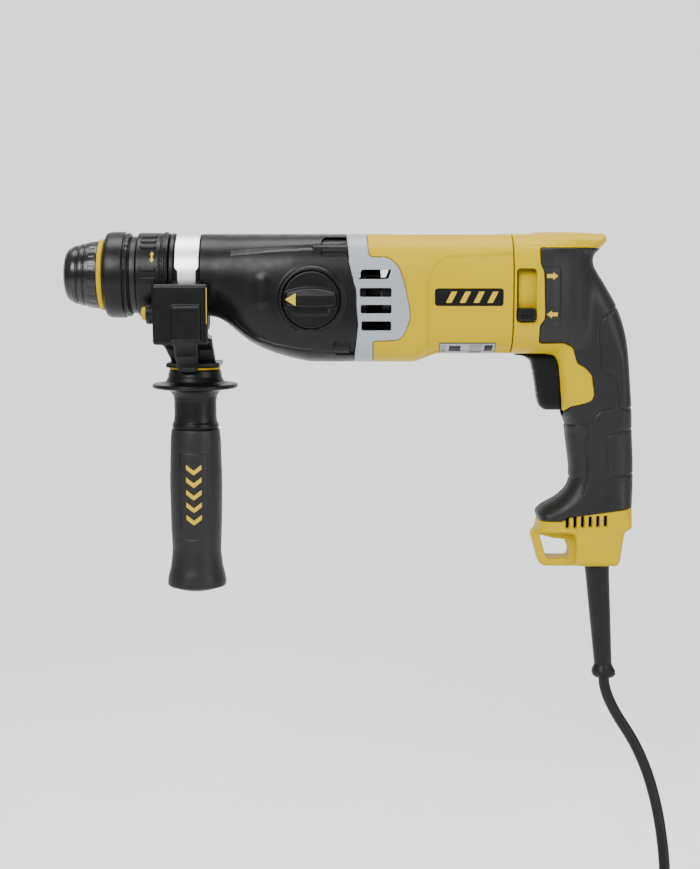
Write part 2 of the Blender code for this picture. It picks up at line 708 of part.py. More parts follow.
BASE_STATIONS = [
    (-50.0, -40.0, 22.6, 19.4, 3.2),
    (-56.1, -44.6, 23.3, 20.0, 3.4),
    (-63.2, -46.8, 22.6, 20.0, 3.4),
    (-66.5, -49.8, 17.4, 19.6, 3.4),
    (-87.8, -44.2, 14.5, 18.6, 3.4),
    (BASE_Z, -41.2, 12.6, 16.6, 3.2),
]
RUBBER_REGION = [
    (-48.6, 137.3), (-48.5, 126.2), (-46.0, 121.4), (-44.8, 88.6), (-48.6, 83.7), (-48.5, 71.3),
    (-29.2, 71.1), (-22.8, 67.6), (-19.8, 56.4), (-14.1, 53.5), (-9.1, 47.9), (-7.0, 33.8),
    (-9.0, 29.6), (-14.4, 27.6), (-24.5, 25.5), (-28.5, 21.3), (-36.0, 18.2), (-60.0, 18.0),
    (-60.0, -56.3), (-28.6, -56.3), (-25.6, -53.7), (24.0, -47.0), (50.0, -47.0), (50.0, 137.3),
]


def handle_outside(prefix, inset):
    """The two lofts of the handle's outside, inset to make its core or its hollow."""
    cap = hull_x(prefix + "_cap", CAP_STATIONS, inset)
    grip = hull_z(prefix + "_grip", GRIP_STATIONS, inset)
    return cap, grip


def half_space(name, side):
    low, high = sorted((side * GAP / 2, side * 90.0))
    return box(name, (-120.0, low, -160.0), (90.0, high, 200.0))


def build_handle_shell(name, side):
    shell = hull_x(name, CAP_STATIONS, finish="yellow_plastic")
    join(shell, hull_z("tool_grip_" + name, GRIP_STATIONS), hull_z("tool_base_" + name, BASE_STATIONS))
    cut(shell, side_prism("cutter_rubber_" + name, RUBBER_REGION, THROUGH))
    core_cap, core_grip = handle_outside("tool_core_" + name, RUBBER + GAP)
    join(shell, core_cap, core_grip)
    inset = RUBBER + GAP + SHELL_WALL
    hollow_front = hull_x("cutter_front_" + name, stations_between(CAP_STATIONS, -90.0, -46.0), inset)
    hollow_back = hull_x("cutter_back_" + name, stations_between(CAP_STATIONS, -36.0, -19.0), inset)
    hollow_grip = hull_z("cutter_grip_" + name, GRIP_STATIONS[10:19], inset)
    hollow_base = hull_z("cutter_base_" + name, [
        (-38.0, -16.0, 17.0, 11.0, 2.6), (-87.7, -15.0, 10.8, 13.0, 3.0)], 0.0)
    bearing_seat = turned("cutter_rear_seat_" + name, disc_outline(-50.0, -34.0, 9.8),
                          centre=(0.0, 0.0, MOTOR_Z), segments=20)
    wire_way = box("cutter_wire_way_" + name, (-32.0, -9.0, 56.0), (-19.5, 9.0, 76.0))
    trigger_slot = box("cutter_trigger_" + name, (-60.0, -9.0, 19.0), (-22.0, 9.0, 62.6))
    cut(shell, hollow_front, hollow_back, hollow_grip, hollow_base, bearing_seat, wire_way, trigger_slot)
    cut(shell, turned("cutter_cord_exit_" + name, disc_outline(-100.0, -80.0, 9.3),
                      centre=(-0.9, 0.0, 0.0), axis="Z", segments=20))
    cut(shell, side_prism("cutter_hang_hole_" + name, [
        (-43.4, -69.0), (-33.5, -70.8), (-24.0, -71.2), (-21.4, -80.4), (-23.0, -83.3), (-38.4, -83.3)],
        THROUGH))
    for cheek, (low, high) in (("a", (-40.0, -9.5)), ("b", (9.5, 40.0))):
        cut(shell, box("cutter_loop_%s_%s" % (cheek, name), (-60.0, low, -100.0), (-19.5, high, -66.3)))
    if side < 0:
        cut(shell, box("cutter_lever_slot", (-65.2, -60.0, 90.4), (-51.5, -20.0, 124.6)))
    keep_inside(shell, half_space("tool_half_" + name, side))


def build_grip_rubber(name, side):
    rubber = hull_z(name, GRIP_STATIONS, finish="black_rubber")
    join(rubber, hull_x("tool_cap_" + name, CAP_STATIONS))
    keep_inside(rubber, side_prism("tool_region_" + name, grown(RUBBER_REGION, -GAP), THROUGH))
    core_cap, core_grip = handle_outside("cutter_core_" + name, RUBBER)
    base = hull_z("cutter_base_seat_" + name, [
        (-50.6, -44.0, 30.0, 24.0, 3.2), (-62.0, -50.0, 30.0, 24.0, 3.4)], 0.0)
    cut(rubber, core_cap, core_grip)
    cut(rubber, base)
    cut(rubber, box("cutter_front_way_" + name, (-60.0, -9.4, 17.0), (-25.0, 9.4, 64.0)))
    keep_inside(rubber, half_space("tool_half_" + name, side))


def build_trigger():
    trigger = side_prism("trigger", [
        (-55.5, 61.6), (-51.0, 58.4), (-49.2, 47.7), (-46.8, 31.8), (-45.1, 24.6), (-42.5, 22.0),
        (-33.0, 22.0), (-33.0, 61.6)], 8.6, "black_plastic", origin=(-45.0, 0.0, 42.0))
    join(trigger, box("tool_trigger_tail", (-36.0, -6.0, 31.0), (-20.8, 6.0, 51.0)))


def build_switch_and_clamp():
    box("switch_module", (-13.8, -8.6, 22.0), (5.5, 8.6, 60.0), "black_plastic")
    box("cord_clamp", (-12.0, -6.5, -74.0), (8.0, 6.5, -67.0), "black_plastic")


PROTECTOR_LEAN = math.radians(4.5)


def build_cord_protector():
    """A tapered sleeve that leans back a little, with a flange held inside the base."""
    outline = [(-83.5, 11.2), (-87.2, 11.2), (-87.2, 8.9), (-93.0, 8.9), (-110.0, 8.3),
               (-140.0, 7.2), (-164.5, 6.5), (-168.0, 8.0), (-171.5, 8.8), (-174.0, 7.4)]
    count = 20
    rings = []
    for z, radius in outline:
        lean = max(0.0, BASE_Z - z) * math.tan(PROTECTOR_LEAN)
        rings.append([(-0.9 + lean + radius * math.cos(2 * math.pi * i / count),
                       radius * math.sin(2 * math.pi * i / count), z) for i in range(count)])
    points, faces = skin(rings)
    add_mesh("cord_protector", points, faces, "black_rubber", (-0.9, 0.0, BASE_Z))


# ---------------------------------------------------------------- side handle

def build_handle_strap():
    strap = turned("handle_strap", ring_outline(-302.1, COVER_X - 2 * GAP, 27.3, 29.3), "aluminium",
                   segments=36)
    tongue = box("tool_strap_tongue", (-298.0, -9.0, 80.5), (-288.0, 9.0, 90.4))
    join(strap, tongue)


def build_handle_bracket():
    bracket = box("handle_bracket", (-317.5, -37.5, 70.0), (-277.5, 37.5, 112.6), "black_plastic",
                  origin=(SIDE_HANDLE_X, 0.0, SPINDLE_Z))
    x = SIDE_HANDLE_X
    stem_rings = []
    for z, front, back, half in ((71.0, -310.0, -276.5, 26.0), (57.5, -307.0, -276.5, 17.0),
                                 (57.0, -310.0, -272.0, 18.6), (53.4, -310.0, -272.0, 18.6)):
        stem_rings.append([(front, -half, z), (back, -half, z), (back, half, z), (front, half, z)])
    points, faces = skin(stem_rings)
    stem = add_mesh("tool_bracket_stem", points, faces, smooth=False)
    boss = box("tool_bracket_boss", (-307.0, -42.5, 73.0), (-288.0, -36.0, 96.0))
    rod_boss = box("tool_rod_boss", (-312.0, 36.0, 74.0), (-284.0, 50.0, 94.0))
    join(bracket, stem, boss, rod_boss)
    saddle_front = turned("cutter_saddle_front", disc_outline(-330.0, -302.4, 31.6), segments=36)
    saddle_back = turned("cutter_saddle_back", disc_outline(-303.0, -284.9, 29.9), segments=36)
    saddle_end = turned("cutter_saddle_end", disc_outline(-285.2, -270.0, 30.7), segments=36)
    tongue_slot = box("cutter_tongue_slot", (-298.6, -9.4, 79.5), (-287.4, 9.4, 92.0))
    bolt_hole = turned("cutter_bolt_hole", disc_outline(40.0, 85.0, 4.4), centre=(x, 0.0, 0.0),
                       axis="Z", segments=16)
    rod_hole = turned("cutter_rod_hole", disc_outline(-330.0, -270.0, 4.2), centre=(0.0, 43.6, 84.0),
                      segments=6)
    button_hole = turned("cutter_button_hole", disc_outline(-330.0, -300.0, 5.2),
                         centre=(0.0, -29.0, 92.0), segments=16)
    cut(bracket, saddle_front, saddle_back, saddle_end, tongue_slot, bolt_hole, rod_hole, button_hole)


def build_side_handle():
    x = SIDE_HANDLE_X
    centre = (x, 0.0, 0.0)
    turned("clamp_bolt", [(79.2, 0.0), (79.2, 4.0), (4.0, 4.0), (4.0, 0.0)], "steel",
           centre=centre, axis="Z", segments=16)
    turned("handle_ring", ring_outline(51.5, 53.1, 4.4, 18.4), "yellow_plastic", centre=centre, axis="Z")
    turned("side_handle_core", [
        (51.2, 4.4), (51.2, 18.4), (42.0, 21.0), (41.0, 30.2), (39.3, 30.6), (37.6, 29.6),
        (36.0, 16.5), (29.0, 15.1), (17.0, 15.1), (9.2, 16.2), (9.2, 12.5), (-98.0, 12.5),
        (-98.0, 9.0), (-92.0, 4.4)], "black_plastic", centre=centre, axis="Z")
    turned("side_handle_grip", [
        (8.9, 12.8), (8.9, 17.4), (0.0, 18.2), (-30.0, 19.0), (-60.0, 18.4), (-80.0, 17.4),
        (-92.0, 18.2), (-101.0, 21.2), (-106.0, 21.6), (-109.0, 19.4), (-110.0, 14.0), (-110.0, 0.0),
        (-101.0, 0.0), (-101.0, 12.8)], "black_rubber", centre=centre, axis="Z")
    turned("depth_stop_button", [
        (-325.0, 0.0), (-325.0, 2.8), (-323.4, 4.8), (-306.0, 4.8), (-306.0, 0.0)], "yellow_plastic",
        centre=(0.0, -29.0, 92.0), segments=16)


# ---------------------------------------------------------------- cord

CORD_ROUTE = [
    (5.7, 0.0, -174.7), (6.4, 0.0, -181.0), (8.9, 0.0, -189.0), (12.6, 0.0, -197.0),
    (17.0, -0.2, -204.8), (22.0, -1.2, -212.5), (27.2, -3.2, -221.0), (32.2, -6.4, -231.0),
    (37.2, -11.6, -244.0), (41.2, -17.8, -259.0), (44.0, -24.2, -275.0), (45.8, -30.0, -292.0),
    (46.7, -34.0, -308.0), (47.0, -35.4, -321.0), (47.0, -32.8, -334.0), (47.0, -26.2, -344.8),
]
TAIL_ROUTE = [
    (-47.2, -57.3, -378.9), (-42.0, -63.3, -378.6), (-36.5, -68.5, -377.9), (-24.5, -78.0, -375.3),
    (-11.5, -85.0, -371.8), (2.0, -88.6, -368.4), (15.8, -89.4, -366.5),
]
PLUG_X = 16.3
PLUG_Y = -89.4
PLUG_R = 18.4


def build_cord():
    wire("cord", smooth_route(CORD_ROUTE, 9.0), CORD_R, 2, "black_rubber")
    ring = turned("cord_coil", ring_outline(COIL_BOTTOM, COIL_TOP, COIL_INNER, COIL_OUTER),
                  "black_rubber", centre=(COIL_X, 0.0, 0.0), axis="Z", segments=40)
    tie_y = 10.0
    outer = box("cord_tie", (COIL_X - COIL_OUTER - 1.9, -tie_y, FLOOR_Z),
                (COIL_X - COIL_INNER + 3.8, tie_y, COIL_TOP + 1.8), "black_plastic")
    inner = box("cutter_tie_inside", (COIL_X - COIL_OUTER - 0.4, -20.0, FLOOR_Z + 1.4),
                (COIL_X - COIL_INNER + 2.3, 20.0, COIL_TOP + 0.4))
    cut(outer, inner)
    wire("cord_tail", smooth_route(TAIL_ROUTE, 9.0), CORD_R, 2, "black_rubber")
    plug_centre = (PLUG_X, PLUG_Y, FLOOR_Z + PLUG_R + 0.1)
    plug = turned("plug_body", [
        (0.0, 0.0), (0.0, 5.6), (14.0, 7.0), (18.0, 15.0), (21.0, PLUG_R), (36.0, PLUG_R), (37.0, 17.6),
        (37.0, 0.0)], "black_rubber", centre=plug_centre, segments=24)
    for side in (-1.0, 1.0):
        pin_centre = (PLUG_X, PLUG_Y + side * 9.5, FLOOR_Z + PLUG_R + 0.1)
        join(plug, turned("tool_plug_pin_%d" % (side + 1), disc_outline(33.0, 56.0, 2.4),
                          centre=pin_centre, segments=12))


def main():
    clear_scene()
    build_nose_cap()
    build_trim_ring()
    build_release_sleeve()
    build_chuck_body()
    build_sleeve_spring()
    build_quick_change_ring()
    build_spindle()
    build_piston()
    build_striker_and_bolt()
    build_intermediate()
    build_wobble()
    build_neck_collar()
    build_gearbox_cover()
    build_screws()
    build_bearing_plate()
    build_mode_knob()
    build_mode_fork()
    build_vent_ring()
    build_motor_housing()
    build_stator()
    build_armature()
    build_brushes()
    for side_name, side in (("left", -1.0), ("right", 1.0)):
        build_handle_shell("handle_shell_" + side_name, side)
        build_grip_rubber("grip_rubber_" + side_name, side)
    build_trigger()
    build_switch_and_clamp()
    build_cord_protector()
    build_handle_strap()
    build_handle_bracket()
    build_side_handle()
    build_cord()


main()
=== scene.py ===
"""Looks of the corded rotary hammer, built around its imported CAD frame.

Lengths are in millimetres in the frame's axes (nose to -X, +Z up, -Y the user's left) and are
turned into metres when a mesh is made. Moulded parts are distance fields, positive outside,
which are meshed on a grid and then pulled onto the exact surface. Round parts are turned.
"""
import math

import bpy
import numpy as np
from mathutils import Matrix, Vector


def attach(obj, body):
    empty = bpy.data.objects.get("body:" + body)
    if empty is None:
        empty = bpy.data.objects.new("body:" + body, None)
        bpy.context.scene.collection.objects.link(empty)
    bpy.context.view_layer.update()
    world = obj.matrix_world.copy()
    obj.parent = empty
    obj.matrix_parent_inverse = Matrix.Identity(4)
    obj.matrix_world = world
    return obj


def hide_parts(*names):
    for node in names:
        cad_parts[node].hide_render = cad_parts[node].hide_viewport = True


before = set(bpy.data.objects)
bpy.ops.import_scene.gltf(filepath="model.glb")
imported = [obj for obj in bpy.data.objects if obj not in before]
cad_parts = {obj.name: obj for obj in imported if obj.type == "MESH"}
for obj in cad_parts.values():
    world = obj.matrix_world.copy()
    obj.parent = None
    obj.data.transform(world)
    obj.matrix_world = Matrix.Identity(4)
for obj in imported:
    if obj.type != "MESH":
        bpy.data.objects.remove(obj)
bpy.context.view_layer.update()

MM = 0.001
SPINDLE_Z = 118.3
MOTOR_Z = 105.0
SIDE_X = -291.0
KNOB_X = -206.8
KNOB_Z = 101.7
FLOOR_Z = -385.0
SPLIT = 0.12            # half the parting gap between the handle halves
COVER_GAP = 0.12        # half the parting gap round the grey vents
RUBBER_GAP = 0.14       # half the parting gap round the grip's rubber
FAR = 1e3               # farther than any surface
TINY = 1e-9
FLAT = [1, 0, 1]        # takes a point to the middle plane


# ---------------------------------------------------------------- materials

class Look:
    """A material with short ways to add nodes to it and to join them up."""

    def __init__(self, name):
        self.material = bpy.data.materials.new(name)
        self.material.use_nodes = True
        self.tree = self.material.node_tree
        self.shader = self.tree.nodes["Principled BSDF"]
        self.coords = self.tree.nodes.new("ShaderNodeTexCoord").outputs["Object"]

    def fill(self, node, **values):
        """Set inputs, each to a value or to another node's output; _ stands for a space."""
        for word, value in values.items():
            socket = node.inputs[word.replace("_", " ")]
            if isinstance(value, bpy.types.NodeSocket):
                self.tree.links.new(value, socket)
            else:
                socket.default_value = value
        return node

    def add(self, kind, **values):
        return self.fill(self.tree.nodes.new("ShaderNode" + kind), **values)

    def noise(self, scale, detail=3.0):
        return self.add("TexNoise", Scale=scale, Detail=detail, Vector=self.coords).outputs["Fac"]

    def spread(self, source, low, high, from_low=0.3, from_high=0.7):
        return self.add("MapRange", From_Min=from_low, From_Max=from_high, To_Min=low, To_Max=high,
                        Value=source).outputs["Result"]

    def mix(self, factor, a, b):
        node = self.add("Mix")
        node.data_type = 'RGBA'
        return self.fill(node, Factor=factor, A=a, B=b).outputs["Result"]

    def bump(self, height, strength, distance):
        normal = self.add("Bump", Strength=strength, Distance=distance, Height=height)
        self.fill(self.shader, Normal=normal.outputs["Normal"])


def shade(colour, factor, lift=0.0):
    return [min(1.0, c * factor + lift) for c in colour] + [1.0]


def moulded(name, colour, roughness, grain=2600.0, depth=0.35, tint=0.08, edge_wear_and_highlight=0.12, metallic=0.0,
            specular=0.5):
    """Moulded plastic or rubber: fine grain, uneven gloss, slight colour drift, and edges painted
    lighter, partly as rubbed wear and partly as a painted highlight.
    """
    look = Look(name)
    drift = look.spread(look.noise(22.0), 0.0, 1.0)
    base = look.mix(drift, shade(colour, 1 - tint), shade(colour, 1 + tint))
    # Convex edges are painted lighter: partly rubbed wear, partly a painted highlight along the edges.
    pointed = look.add("NewGeometry").outputs["Pointiness"]
    base = look.mix(look.spread(pointed, 0.0, edge_wear_and_highlight, 0.53, 0.62), base, shade(colour, 1.3, 0.03))
    look.fill(look.shader, Base_Color=base, Metallic=metallic, Specular_IOR_Level=specular,
              Roughness=look.spread(look.noise(160.0), roughness - 0.05, roughness + 0.06))
    look.bump(look.noise(grain, 2.0), depth, 0.00008)
    return look.material


def brushed(name, colour, roughness, stretch=(1.0, 1.0, 1.0), scale=900.0, depth=0.25, tint=0.12):
    """Machined or brushed metal: fine lines stretched along one direction and patchy gloss."""
    look = Look(name)
    stretched = look.add("Mapping", Scale=stretch, Vector=look.coords).outputs["Vector"]
    lines = look.add("TexNoise", Scale=scale, Detail=4.0, Vector=stretched).outputs["Fac"]
    look.fill(look.shader, Base_Color=look.mix(lines, shade(colour, 1 - tint), shade(colour, 1 + tint)),
              Metallic=1.0, Roughness=look.spread(look.noise(45.0), roughness - 0.06, roughness + 0.08))
    look.bump(lines, depth, 0.00004)
    return look.material


def copper_wire(name):
    """Enamelled windings: close-packed strands with a dark varnish between them."""
    look = Look(name)
    strands = look.add("TexWave", Scale=420.0, Distortion=1.5, Vector=look.coords)
    strands.wave_type = 'BANDS'
    strands.bands_direction = 'DIAGONAL'
    ramp = look.add("ValToRGB", Fac=strands.outputs["Fac"])
    ramp.color_ramp.elements[0].color = (0.16, 0.05, 0.02, 1.0)
    ramp.color_ramp.elements[1].color = (0.78, 0.34, 0.14, 1.0)
    look.fill(look.shader, Base_Color=ramp.outputs["Color"], Metallic=0.85, Roughness=0.34)
    look.bump(strands.outputs["Fac"], 0.6, 0.0002)
    return look.material


YELLOW = moulded("yellow_housing", (0.46, 0.315, 0.0), 0.40, depth=0.22, tint=0.03, edge_wear_and_highlight=0.02,
                 specular=0.10)
BLACK = moulded("black_housing", (0.004, 0.004, 0.0042), 0.34, depth=0.40, edge_wear_and_highlight=0.04, specular=0.20)
GLOSSY = moulded("glossy_nose", (0.006, 0.006, 0.0065), 0.24, grain=1500.0, depth=0.15, edge_wear_and_highlight=0.05,
                 specular=0.4)
RUBBER = moulded("grip_rubber", (0.007, 0.007, 0.0075), 0.46, grain=3200.0, depth=0.50, edge_wear_and_highlight=0.05,
                 specular=0.30)
GREY = moulded("grey_vents", (0.27, 0.29, 0.32), 0.42, depth=0.25, tint=0.03, edge_wear_and_highlight=0.06)
LEAD = moulded("lead_rubber", (0.005, 0.005, 0.0055), 0.44, grain=1800.0, depth=0.35, specular=0.22)
PRINT_YELLOW = moulded("yellow_print", (0.50, 0.34, 0.0), 0.45, depth=0.10, tint=0.02, edge_wear_and_highlight=0.0)
PRINT_BLACK = moulded("black_print", (0.004, 0.004, 0.004), 0.45, depth=0.10, edge_wear_and_highlight=0.0, specular=0.15)
LABEL = moulded("rating_label", (0.20, 0.20, 0.20), 0.38, depth=0.12, metallic=0.5)
STRAP = brushed("strap_metal", (0.80, 0.80, 0.79), 0.42, (1.0, 0.1, 0.1))
STEEL = brushed("ground_steel", (0.62, 0.62, 0.63), 0.30, (0.1, 1.0, 1.0))
DARK_STEEL = brushed("dark_steel", (0.030, 0.030, 0.032), 0.42, (0.1, 1.0, 1.0))
LAMINATION = brushed("stacked_plates", (0.30, 0.30, 0.32), 0.42, (6.0, 0.2, 0.2), 260.0, 0.7)
ALUMINIUM = brushed("cast_aluminium", (0.70, 0.71, 0.72), 0.48, (1.0, 1.0, 1.0), 400.0)
COPPER = copper_wire("enamelled_copper")
SEGMENTS = brushed("commutator_bars", (0.78, 0.45, 0.25), 0.28, (0.05, 1.0, 1.0), 500.0, 0.4)
CARBON = moulded("pressed_carbon", (0.05, 0.05, 0.055), 0.6, grain=1400.0, depth=0.5)
SLOT_OF = {look.name: slot for slot, looks in {
    "yellow_plastic": (YELLOW, PRINT_YELLOW), "black_plastic": (BLACK, PRINT_BLACK),
    "black_rubber": (GLOSSY, RUBBER, LEAD), "grey_plastic": (GREY,), "aluminium": (STRAP,),
    "steel": (STEEL,), "dark_steel": (DARK_STEEL,)}.items() for look in looks}


# ---------------------------------------------------------------- meshes

SHARP = math.radians(38)    # an edge that turns more than this isn't shaded smooth


def make_mesh(name, points, faces, material, sharp=None):
    mesh = bpy.data.meshes.new(name)
    mesh.from_pydata((np.asarray(points, dtype=float) * MM).tolist(), [], faces)
    mesh.update()
    mesh.shade_smooth()
    if sharp is not None:
        mesh.set_sharp_from_angle(angle=sharp)
    mesh.materials.append(material)
    piece = bpy.data.objects.new(name, mesh)
    bpy.context.collection.objects.link(piece)
    return piece


def place(piece, body, *nodes, slot=None):
    """Put a piece on its body, in the stead of these nodes; the slot is not used."""
    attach(piece, body)
    if nodes:
        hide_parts(*nodes)
    slot or SLOT_OF[piece.data.materials[0].name]
    return piece


def soften_corners(outline, radius, steps=5):
    """Replace each corner of an outline by a short curve; radius is a number or one per point."""
    points = [np.array(p, dtype=float) for p in outline]
    count = len(points)
    result = []
    for i, corner in enumerate(points):
        before = points[i - 1] - corner
        after = points[(i + 1) % count] - corner
        wanted = radius[i] if isinstance(radius, (list, tuple)) else radius
        reach = min(wanted, 0.49 * np.linalg.norm(before), 0.49 * np.linalg.norm(after))
        if reach < 0.02:
            result.append(corner)
            continue
        a = corner + before / np.linalg.norm(before) * reach
        b = corner + after / np.linalg.norm(after) * reach
        for t in np.arange(steps + 1) / steps:
            result.append(a * (1 - t) ** 2 + corner * 2 * t * (1 - t) + b * t * t)
    return np.array(result)


def turned(name, profile, material, body, *nodes, centre=(0.0, 0.0, SPINDLE_Z), axis="X",
           segments=144, soften=0.5, flute=None):
    """A piece turned about X or Z from a closed profile of (distance, radius).

    flute(distance, angles) is taken off the radius. Points on the axis close the ends.
    """
    curve = soften_corners(profile, [soften if r > 0 else 0.0 for _, r in profile])
    angles = np.arange(segments) * 2 * math.pi / segments
    points = []
    rings = []
    for distance, radius in curve:
        first = len(points)
        if radius < 1e-6:
            points.append((distance, 0.0, 0.0))
            rings.append(np.full(segments, first))
            continue
        reach = radius - (flute(distance, angles) if flute else np.zeros(segments))
        for angle, r in zip(angles, reach):
            points.append((distance, r * math.cos(angle), r * math.sin(angle)))
        rings.append(np.arange(first, first + segments))
    faces = []
    for i in range(len(rings)):
        a = rings[i]
        b = rings[(i + 1) % len(rings)]
        if a[0] == a[1] and b[0] == b[1]:
            continue
        a2 = np.roll(a, -1)
        b2 = np.roll(b, -1)
        for quad in zip(a.tolist(), b.tolist(), b2.tolist(), a2.tolist()):
            faces.append(tuple(dict.fromkeys(quad)))
    points = np.array(points)
    if axis == "Z":
        points = points[:, [1, 2, 0]]
    points = points + np.array(centre)
    area = sum(curve[i][0] * curve[(i + 1) % len(curve)][1]
               - curve[(i + 1) % len(curve)][0] * curve[i][1] for i in range(len(curve)))
    if area > 0:
        faces = [face[::-1] for face in faces]
    return place(make_mesh(name, points, faces, material, SHARP), body, *nodes)


# ---------------------------------------------------------------- distance fields

def round_max(a, b, radius):
    """Both fields at once, with their shared outer edge rounded."""
    return (np.minimum(np.maximum(a, b), -radius)
            + np.hypot(np.maximum(a + radius, 0.0), np.maximum(b + radius, 0.0)))


def fillet_min(a, b, size):
    """Either field, with a fillet where they meet."""
    share = np.clip(0.5 + 0.5 * (b - a) / size, 0.0, 1.0)
    return b + (a - b) * share - size * share * (1.0 - share)


def brick(p, low, high, radius=0.0):
    """A box between two corners, with rounded edges."""
    low, high = np.array([low, high], dtype=float)
    q = np.abs(p - (low + high) / 2) - (high - low) / 2 + radius
    return np.linalg.norm(np.maximum(q, 0.0), axis=1) + np.minimum(q.max(axis=1), 0.0) - radius


def capsule(p, start, end, radius):
    """A rod with round ends."""
    a = np.array(start, dtype=float)
    line = np.array(end, dtype=float) - a
    t = np.clip((p - a) @ line / (line @ line), 0.0, 1.0)
    return np.linalg.norm(p - a - t[:, None] * line, axis=1) - radius


def rod(p, axis, centre, radius, start, end, edge=0.4):
    """A cylinder along axis number 0, 1 or 2 through the centre."""
    others = [i for i in range(3) if i != axis]
    away = np.hypot(p[:, others[0]] - centre[others[0]], p[:, others[1]] - centre[others[1]]) - radius
    along = np.abs(p[:, axis] - (start + end) / 2) - abs(end - start) / 2
    return round_max(away, along, edge)


class Hull:
    """A tube along X with rounded-box sections at stations.

    A station is (x, z low, z high, half width, power of the section's curve).
    """

    def __init__(self, stations, soften=2.5):
        table = np.array(stations, dtype=float)
        self.x = np.arange(table[0, 0] - 30, table[-1, 0] + 30, 0.5)
        reach = np.arange(-6, 7) * 0.5
        weights = np.exp(-(reach / soften) ** 2)
        weights /= weights.sum()
        self.columns = []
        for column in range(1, 5):
            raw = np.interp(self.x, table[:, 0], table[:, column])
            padded = np.pad(raw, 6, mode="edge")
            self.columns.append(np.convolve(padded, weights, mode="valid"))

    def __call__(self, p, inset=0.0):
        low, high, wide, power = [np.interp(p[:, 0], self.x, column) for column in self.columns]
        half = (high - low) / 2 - inset
        wide = wide - inset
        u = np.abs(p[:, 1]) / wide
        v = np.abs(p[:, 2] - (low + high) / 2) / half
        up = u ** power
        vp = v ** power
        g = np.maximum(up + vp, TINY) ** (1 / power)
        slope = g ** (1 - power) * np.hypot(up / np.maximum(u, 1e-6) / wide,
                                            vp / np.maximum(v, 1e-6) / half)
        return (g - 1.0) / np.maximum(slope, 1e-3)


def groove(distance, width, depth):
    """How deep a V-shaped groove cuts at this distance from its line."""
    return depth * np.clip(1.0 - distance / width, 0.0, 1.0)


def rounded_edge(inward, y, rounding, wide, power):
    """A slab |y| < wide whose rim, inward from its outline, is rounded off superelliptically."""
    u = np.maximum(rounding - inward, 0.0) / rounding
    v = np.abs(y) / wide
    g = np.maximum(u ** power + v ** power, TINY) ** (1 / power)
    slope = g ** (1 - power) * np.hypot(np.maximum(u, 1e-6) ** (power - 1) / rounding,
                                        np.maximum(v, 1e-6) ** (power - 1) / wide)
    return (g - 1.0) / np.maximum(slope, 1e-2)


def area(points, radius, margin, soften=0):
    return Outline(soften_corners(points, radius), margin, soften=soften)


class Outline:
    """Signed distance to a closed outline of (x, z) points, tabulated once; negative inside."""

    def __init__(self, points, margin, step=0.5, soften=0):
        points = np.array(points, dtype=float)
        self.low = points.min(axis=0) - margin
        self.step = step
        size = np.ceil((points.max(axis=0) + margin - self.low) / step).astype(int) + 1
        xs = self.low[0] + np.arange(size[0]) * step
        zs = self.low[1] + np.arange(size[1]) * step
        x, z = np.meshgrid(xs, zs, indexing="ij")
        nearest = np.full(x.shape, FAR ** 2)
        inside = np.zeros(x.shape, dtype=bool)
        for a, b in zip(points, np.roll(points, -1, axis=0)):
            edge = b - a
            length = max(edge @ edge, TINY)
            t = np.clip(((x - a[0]) * edge[0] + (z - a[1]) * edge[1]) / length, 0.0, 1.0)
            nearest = np.minimum(nearest, (x - a[0] - t * edge[0]) ** 2 + (z - a[1] - t * edge[1]) ** 2)
            if a[1] != b[1]:
                crosses = (a[1] > z) != (b[1] > z)
                inside ^= crosses & (x < a[0] + (z - a[1]) * edge[0] / edge[1])
        self.table = np.sqrt(nearest) * np.where(inside, -1.0, 1.0)
        for _ in range(soften):
            t = np.pad(self.table, 1, mode="edge")
            self.table = (t[1:-1, 1:-1] * 4 + t[:-2, 1:-1] + t[2:, 1:-1]
                          + t[1:-1, :-2] + t[1:-1, 2:]) / 8

    def __call__(self, p):
        limit = np.array(self.table.shape) - 1.001
        grid = np.clip((p[:, [0, 2]] - self.low) / self.step, 0.0, limit)
        cell = grid.astype(int)
        fx, fz = (grid - cell).T
        i, k = cell.T
        t = self.table
        return ((t[i, k] * (1 - fx) + t[i + 1, k] * fx) * (1 - fz)
                + (t[i, k + 1] * (1 - fx) + t[i + 1, k + 1] * fx) * fz)


def line_distance(p, points):
    """Distance in the side view from an open line of (x, z) points."""
    nearest = np.full(len(p), FAR)
    for a, b in zip(points, points[1:]):
        a = np.array(a, dtype=float)
        edge = np.array(b, dtype=float) - a
        t = np.clip(((p[:, 0] - a[0]) * edge[0] + (p[:, 2] - a[1]) * edge[1]) / (edge @ edge), 0.0, 1.0)
        away = np.hypot(p[:, 0] - a[0] - t * edge[0], p[:, 2] - a[1] - t * edge[1])
        nearest = np.minimum(nearest, away)
    return nearest


CORNERS = [(i, j, k) for i in (0, 1) for j in (0, 1) for k in (0, 1)]
BLOCK = 8               # grid steps along a block's side
NEAR = 1.35             # blocks nearer to the surface than this many sides are worked out
CHUNK = 300000          # grid points worked out at a time
PADDING = 2.2           # grid steps left free round a piece


def sample_grid(field, low, shape, step):
    """The field on a grid, worked out fully only in the blocks near the surface."""
    blocks = [-(-n // BLOCK) for n in shape]
    middles = [np.arange(n) * BLOCK + BLOCK / 2 for n in blocks]
    middles = np.stack(np.meshgrid(*middles, indexing="ij"), -1)
    rough = field(low + middles.reshape(-1, 3) * step).reshape(blocks)
    values = rough
    near = np.abs(rough) < BLOCK * step * NEAR
    for axis in range(3):
        values = np.repeat(values, BLOCK, axis)
        near = np.repeat(near, BLOCK, axis)
    values = values[:shape[0], :shape[1], :shape[2]].astype(float)
    cells = np.argwhere(near[:shape[0], :shape[1], :shape[2]])
    for first in range(0, len(cells), CHUNK):
        part = cells[first:first + CHUNK]
        values[part[:, 0], part[:, 1], part[:, 2]] = field(low + part * step)
    return values


